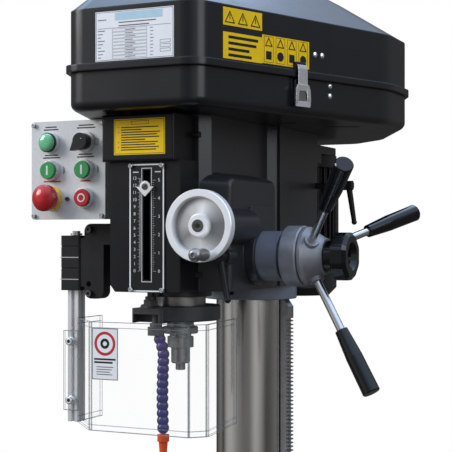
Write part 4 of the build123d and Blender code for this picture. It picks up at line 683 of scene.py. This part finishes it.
def housing_label():
    """Yellow label over the depth scale, with a dark border and rows of bars."""
    label = Print("housing_label", "scale_housing", (-8.2, -367, 1520.2), (1, 0, 0))
    label.sheet(-40.6, -25.2, 40.6, 25.2, "label_yellow")
    label.border(-39.4, -24, 39.4, 24, 0.6, "black_ink_and_painted_shade")
    label.border(-13, 17, 15, 22, 0.6, "black_ink_and_painted_shade")
    label.text_bars(-29, 33, 12.5, (0.96, 0.52, 1.0, 0.92, 0.98, 0.62, 0.95, 0.88, 0.97, 0.9),
                    3.5, 1.5, "black_ink_and_painted_shade")
    for row in (0, 2, 6, 8):
        label.rect(-34, 12.7 - row * 3.5, -32.6, 13.9 - row * 3.5, "black_ink_and_painted_shade", 2)
    label.finish("base", "panel_silver")


def guard_label():
    """White label on the front of the guard: a red ring over rows of bars."""
    label = Print("guard_label", "guard_shield", (-84, -333, 1210.2), (1, 0, 0))
    label.sheet(-22, -37.8, 22, 37.8, "label_white")
    label.border(-21.4, -37.2, 21.4, 37.2, 0.8, "black_ink_and_painted_shade")
    label.ring(0, 15, 17.5, 13.4, "ink_red")
    label.ring(0, 15, 7.5, 3.4, "black_ink_and_painted_shade")
    label.text_bars(-18, 18, -9, (1.0, 0.86), 4.6, 2.6, "black_ink_and_painted_shade")
    label.text_bars(-14, 14, -19.5, (1.0, 0.9, 0.8, 0.95), 3.6, 1.2, "ink_grey")
    label.finish("guard", "panel_silver")


def panel_print():
    """Plain marks over the switches, a yellow disc under the stop button and the lamp lens."""
    panel = Print("panel_print", "control_plate", (0, -303, 0), (1, 0, 0))
    for x, z, wide in ((-198, 1545, 20), (-136, 1546, 26), (-197, 1502.5, 24),
                       (-137, 1502.5, 24)):
        panel.rect(x - wide / 2, z, x + wide / 2, z + 1.7, "black_ink_and_painted_shade")
        panel.rect(x - wide / 2 - 3, z - 4, x + wide / 2 + 3, z - 2.2, "black_ink_and_painted_shade")
    panel.rect(-211, 1462.5, -181, 1464.6, "ink_red")
    panel.rect(-146, 1462.5, -128, 1464.6, "ink_red")
    for x in (-176, -117):
        panel.rect(x, 1474, x + 0.8, 1486, "black_ink_and_painted_shade")
        panel.rect(x + 2, 1476, x + 2.8, 1484, "black_ink_and_painted_shade")
    panel.border(-121, 1517, -115, 1526, 0.6, "ink_green")
    panel.finish("base", "panel_silver")
    for name, body, x in (("go_mark_left", "button_left", SWITCH_LEFT),
                          ("go_mark_right", "button_right", SWITCH_RIGHT)):
        mark = Print(name, "green_" + body, (x, BUTTON_FRONT, START_Z), (1, 0, 0))
        mark.rect(-1.5, -7, 1.5, 7, "ink_white")
        mark.finish(body, "panel_silver")
    mark = Print("halt_mark", "red_button", (SWITCH_RIGHT, BUTTON_FRONT, STOP_Z), (1, 0, 0))
    mark.ring(0, 0, 6.6, 4.6, "ink_white")
    mark.finish("button_red", "panel_silver")
    disc = Print("stop_disc", "switch_bezels", (SWITCH_LEFT + 1, -302, STOP_Z), (1, 0, 0))
    disc.ring(0, 0, 18.4, 14.4, "label_yellow", 1, 48)
    disc.finish("base", "panel_silver")
    mark = Print("selector_mark", "selector_knob", (-136, -318, 1522), (0.82, 0, -0.57),
                 (0.57, 0, 0.82))
    mark.rect(-1.0, 4, 1.0, 12, "ink_white")
    mark.finish("selector", "panel_silver")


def turned(name, centre, axis, profile, ink, body, count=48):
    """A turned piece; profile is (radius, distance along the axis) in millimetres."""
    axis = Vector(axis).normalized()
    side = axis.orthogonal().normalized()
    other = axis.cross(side)
    bm = bmesh.new()
    rings = []
    for radius, along in profile:
        ring = []
        for i in range(count):
            t = 2 * pi * i / count
            ring.append(bm.verts.new((Vector(centre) + axis * along
                                      + (side * cos(t) + other * sin(t)) * radius) * MM))
        rings.append(ring)
    for low, high in zip(rings, rings[1:]):
        walls(bm, low, high)
    bm.faces.new(rings[0])
    bm.faces.new(rings[-1])
    smooth(add_piece(name, bm, [ink], body))


def lamp_lens():
    """Domed green lens of the power lamp, and the dark collar round it."""
    turned("lamp_lens", (LAMP_X, -316.2, LAMP_Z), FRONT,
           [(13.3, -7.5), (13.3, -3), (12.6, -1.2), (11, 0.2), (7, 1.4), (3, 1.9), (0.4, 2)],
           "green_lens", "base")
    turned("lamp_collar", (LAMP_X, -309.6, LAMP_Z), FRONT,
           [(14.9, -2), (14.9, 1.6), (14.2, 2.4), (12.6, 2.4)], "dark_green", "base")


def rivets():
    """Domed rivets of the hinge strap and latch on the case wall."""
    dome = [(4.2, 0), (4.2, 0.5), (3.4, 1.5), (2, 2.3), (0.3, 2.6)]
    for name, node, t, z, body in (("lid_rivet_1", "belt_case_lid", 0.577, 1647, "lid"),
                                   ("lid_rivet_2", "belt_case_lid", 0.615, 1647, "lid"),
                                   ("pan_rivet_1", "belt_case_pan", 0.658, 1604, "base"),
                                   ("pan_rivet_2", "belt_case_pan", 0.658, 1589, "base")):
        x, y = (start + run * t for start, run in zip(CASE_CORNER, CASE_RUN))
        wall = Print(name, node, (x, y, z), (*CASE_RUN, 0))
        seat = wall.place(0, 0, -0.2) / MM
        wall.mesh.free()
        turned(name, seat, CASE_OUT, dome, "chrome", body, 20)


def latch():
    """Sprung toggle latch: hook over the rim, strap, and a flared lever with a window."""
    points = [v.co / MM for v in NODES["lid_latch"].data.vertices]
    face = min(p.dot(CASE_OUT) for p in points)
    reach = [p.dot(CASE_ALONG) for p in points]
    home = CASE_ALONG * (min(reach) + max(reach)) / 2 + CASE_OUT * face

    def at(along, out, z):
        return (home + CASE_ALONG * along + CASE_OUT * out + Vector((0, 0, z))) * MM

    strip = [(1626.0, -2.6, 8.5), (1627.6, -1.2, 9.2), (1628.0, 0.6, 9.8), (1627.0, 2.4, 10),
             (1622, 3.2, 10), (1608, 3.3, 10), (1600, 3.4, 10), (1598, 3.6, 10)]
    bm = bmesh.new()
    grid = [[bm.verts.new(at(half * share, out, z)) for share in (-1, -0.5, 0, 0.5, 1)]
            for z, out, half in strip]
    for high, low in zip(grid, grid[1:]):
        for i in range(4):
            bm.faces.new((high[i], high[i + 1], low[i + 1], low[i]))
    outer = [(-12, 1599), (12, 1599), (15, 1592), (16, 1578), (15.4, 1567), (-15.4, 1567),
             (-16, 1578), (-15, 1592)]
    inner = [(-7, 1590), (7, 1590), (8.5, 1586), (9, 1579), (8.6, 1575), (-8.6, 1575),
             (-9, 1579), (-8.5, 1586)]
    lift = [3.9, 3.9, 4.3, 4.4, 3.4, 3.4, 4.4, 4.3]
    rim = [bm.verts.new(at(along, out, z)) for (along, z), out in zip(outer, lift)]
    hole = [bm.verts.new(at(along, out - 0.9, z)) for (along, z), out in zip(inner, lift)]
    skirt = [bm.verts.new(at(along, 0.9, z)) for along, z in outer]
    walls(bm, rim, hole)
    for side in (1, 2, 3, 5, 6, 7):    # all but the top and bottom edges are turned down
        end = (side + 1) % 8
        bm.faces.new((rim[end], rim[side], skirt[side], skirt[end]))
    piece = add_piece("latch_lever", bm, ["chrome"], "latch")
    solid = piece.modifiers.new("thickness", "SOLIDIFY")
    solid.thickness = 0.0013
    solid.offset = -1
    edge = piece.modifiers.new("edge", "BEVEL")
    edge.width = 0.0004
    edge.segments = 2
    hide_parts("lid_latch")
    back = bmesh.new()
    low, high = ([back.verts.new(at(along, out, z)) for along, z in
                  ((-11, 1573), (11, 1573), (11, 1594), (-11, 1594))] for out in (0.2, 1.2))
    back.faces.new(high)
    back.faces.new(low[::-1])
    walls(back, low, high)
    add_piece("latch_seat_plate", back, ["nickel"], "latch")


def bar(bm, start, end, radius):
    """A six-sided bar between two points in metres."""
    run = end - start
    if run.length < 1e-5:
        return
    side = run.orthogonal().normalized()
    other = run.normalized().cross(side)
    low, high = ([bm.verts.new(p + (side * cos(pi * i / 3) + other * sin(pi * i / 3)) * radius)
                  for i in range(6)] for p in (start, end))
    walls(bm, low, high)
    bm.faces.new(low[::-1])
    bm.faces.new(high)


def guard_edges():
    """Polished edges, folds and two level lines of the clear guard, drawn as thin grey bars:
    painted highlights where they catch the light.
    """
    edge_bar, fold_bar, line_bar = 0.00042, 0.00022, 0.00028    # radii, metres
    shield = bmesh.new()
    shield.from_mesh(NODES["guard_shield"].data)
    bmesh.ops.remove_doubles(shield, verts=shield.verts, dist=1e-6)
    lines = bmesh.new()
    for edge in shield.edges:
        if len(edge.link_faces) != 2:
            continue
        a, b = (v.co.copy() for v in edge.verts)
        upright = abs((b - a).normalized().z) > 0.99 and (b - a).length > 0.1
        bend = edge.calc_face_angle(0)
        if bend > 0.7:
            bar(lines, a, b, edge_bar)
        elif upright and bend > 0.12:
            bar(lines, a, b, fold_bar)
    for z in (1.106, 1.248):
        sliced = shield.copy()
        cut = bmesh.ops.bisect_plane(sliced, geom=sliced.verts[:] + sliced.edges[:]
                                     + sliced.faces[:], plane_co=(0, 0, z), plane_no=(0, 0, 1))
        for edge in (e for e in cut["geom_cut"] if isinstance(e, bmesh.types.BMEdge)):
            a, b = (v.co.copy() for v in edge.verts)
            bar(lines, a, b, line_bar)
        sliced.free()
    shield.free()
    add_piece("guard_edges", lines, ["guard_edge"], "guard")


def plate_loop(bm, outline, low, high):
    """A flat plate from an outline in x and y between two heights, all in millimetres."""
    under, over = ([bm.verts.new(Vector((x, y, z)) * MM) for x, y in outline]
                   for z in (low, high))
    walls(bm, under, over)
    bm.faces.new(under[::-1])
    bm.faces.new(over)


def guard_screws():
    """Domed screws that clamp the guard's flange on the bar, with a black hex in each socket:
    painted shade in the hole.
    """
    for index, z in enumerate((1130, 1220)):
        place = (GUARD_BAR_X, GUARD_SCREW_Y, z)
        turned("guard_screw_%d" % (index + 1), place, FRONT,
               [(6.4, -7.2), (6.4, -5.6), (5.9, -5.4), (5.9, -0.4), (4.8, 0.9), (3.0, 1.1),
                (2.8, 0.5)], "profile", "guard", 30)
        # Black hex in the socket: painted shade in the hole.
        turned("guard_socket_shade_%d" % (index + 1), place, FRONT,
               [(2.7, 0.3), (2.7, 0.75), (2.3, 0.8)], "black_ink_and_painted_shade", "guard", 6)


def bracket_shims():
    """Aluminium shims that show in the joints of the guard's knuckle block."""
    x, y = GUARD_BAR_X, KNUCKLE_Y
    bm = bmesh.new()
    for low in (1314.4, 1348.0):
        plate_loop(bm, [(x - 18.3, y - 18.3), (x + 15, y - 18.3), (x + 15, y - 17),
                        (x - 17, y - 17), (x - 17, y + 15), (x - 18.3, y + 15)],
                   low, low + 1.2)
    add_piece("bracket_shims", bm, ["turned"], "base")


def dial_marks():
    """Fifty graduations on the dial of the fine feed wheel."""
    bm = bmesh.new()
    centre = Vector((WHEEL_X, 0, WHEEL_Z))
    for mark in range(50):
        t = 2 * pi * mark / 50
        out = Vector((cos(t), 0, sin(t)))
        side = Vector((-sin(t), 0, cos(t)))
        reach = 8 if mark % 5 == 0 else 5
        corners = [centre + out * DIAL_RADIUS + side * half + Vector((0, y, 0))
                   for half, y in ((-0.28, DIAL_BACK), (0.28, DIAL_BACK),
                                   (0.28, DIAL_BACK - reach), (-0.28, DIAL_BACK - reach))]
        top = [bm.verts.new(p * MM) for p in corners]
        low = [bm.verts.new((p - out * 0.3) * MM) for p in corners]
        bm.faces.new(top)
        walls(bm, low, top)
    add_piece("dial_marks", bm, ["black_ink_and_painted_shade"], "handwheel")


def wheel_hub():
    """Recessed socket nut in the middle of the fine feed wheel, with a black hex in its socket:
    painted shade in the hole.
    """
    middle = (WHEEL_X, WHEEL_FRONT, WHEEL_Z)
    turned("wheel_nut", middle, FRONT,
           [(8.6, -0.6), (8.6, 0.4), (8.0, 1.0), (4.6, 1.0), (4.4, 0.6)], "dull", "handwheel",
           36)
    # Black hex in the socket: painted shade in the hole.
    turned("wheel_socket_shade", middle, FRONT,
           [(3.4, 0.6), (3.4, 1.25), (2.9, 1.3)], "black_ink_and_painted_shade", "handwheel", 6)


def pointer_screw():
    """Screw in the middle of the depth pointer, with its slot drawn as a black bar: painted shade
    in the groove.
    """
    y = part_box("depth_pointer")[0][1] / MM    # its front
    turned("pointer_screw", (0, y, 1450), FRONT,
           [(4.6, -0.4), (4.6, 0.8), (4.0, 1.3), (0.3, 1.35)], "dull", "quill", 28)
    # Black bar across the head: painted shade in the screw's slot.
    slot = bmesh.new()
    bar(slot, Vector((-3.4, y - 1.3, 1447.6)) * MM, Vector((3.4, y - 1.3, 1452.4)) * MM, 0.0006)
    add_piece("pointer_slot_shade", slot, ["black_ink_and_painted_shade"], "quill")


def bright_screws():
    """Bright heads of the panel and scale plate screws, and the cap of the guard's pivot."""
    head = [(3.5, -0.6), (3.5, 0.3), (3.0, 0.8), (1.5, 0.8), (1.3, 0.1)]
    panel = [(x, -303.6, z) for x in (-227.5, -108.5) for z in (1411.5, 1549)]
    plate = [(x, -363.86, z) for x in (-24.5, 24.5) for z in (1305.5, 1479.5)]
    for index, place in enumerate(panel + plate):
        turned("screw_head_%d" % (index + 1), place, FRONT, head, "bright", "base",
               20)
    turned("pivot_cap", (-200.5, KNUCKLE_Y, 1322), (-1, 0, 0),
           [(7.6, -0.6), (7.6, 1.2), (7.0, 3.6), (5.4, 5.8), (3, 7), (0.4, 7.4)], "profile",
           "base", 32)


def add_details():
    """Prints, marks and small fittings, each a piece of its own that rides on a body."""
    wheel_hub()
    pointer_screw()
    bright_screws()
    scale_print()
    name_plate()
    lid_sticker()
    housing_label()
    guard_label()
    panel_print()
    lamp_lens()
    rivets()
    latch()
    guard_edges()
    guard_screws()
    bracket_shims()
    dial_marks()


make_camera()
make_surroundings()
materials = make_materials()
paint_nodes()
add_details()

bpy.context.scene.view_settings.view_transform = "Standard"
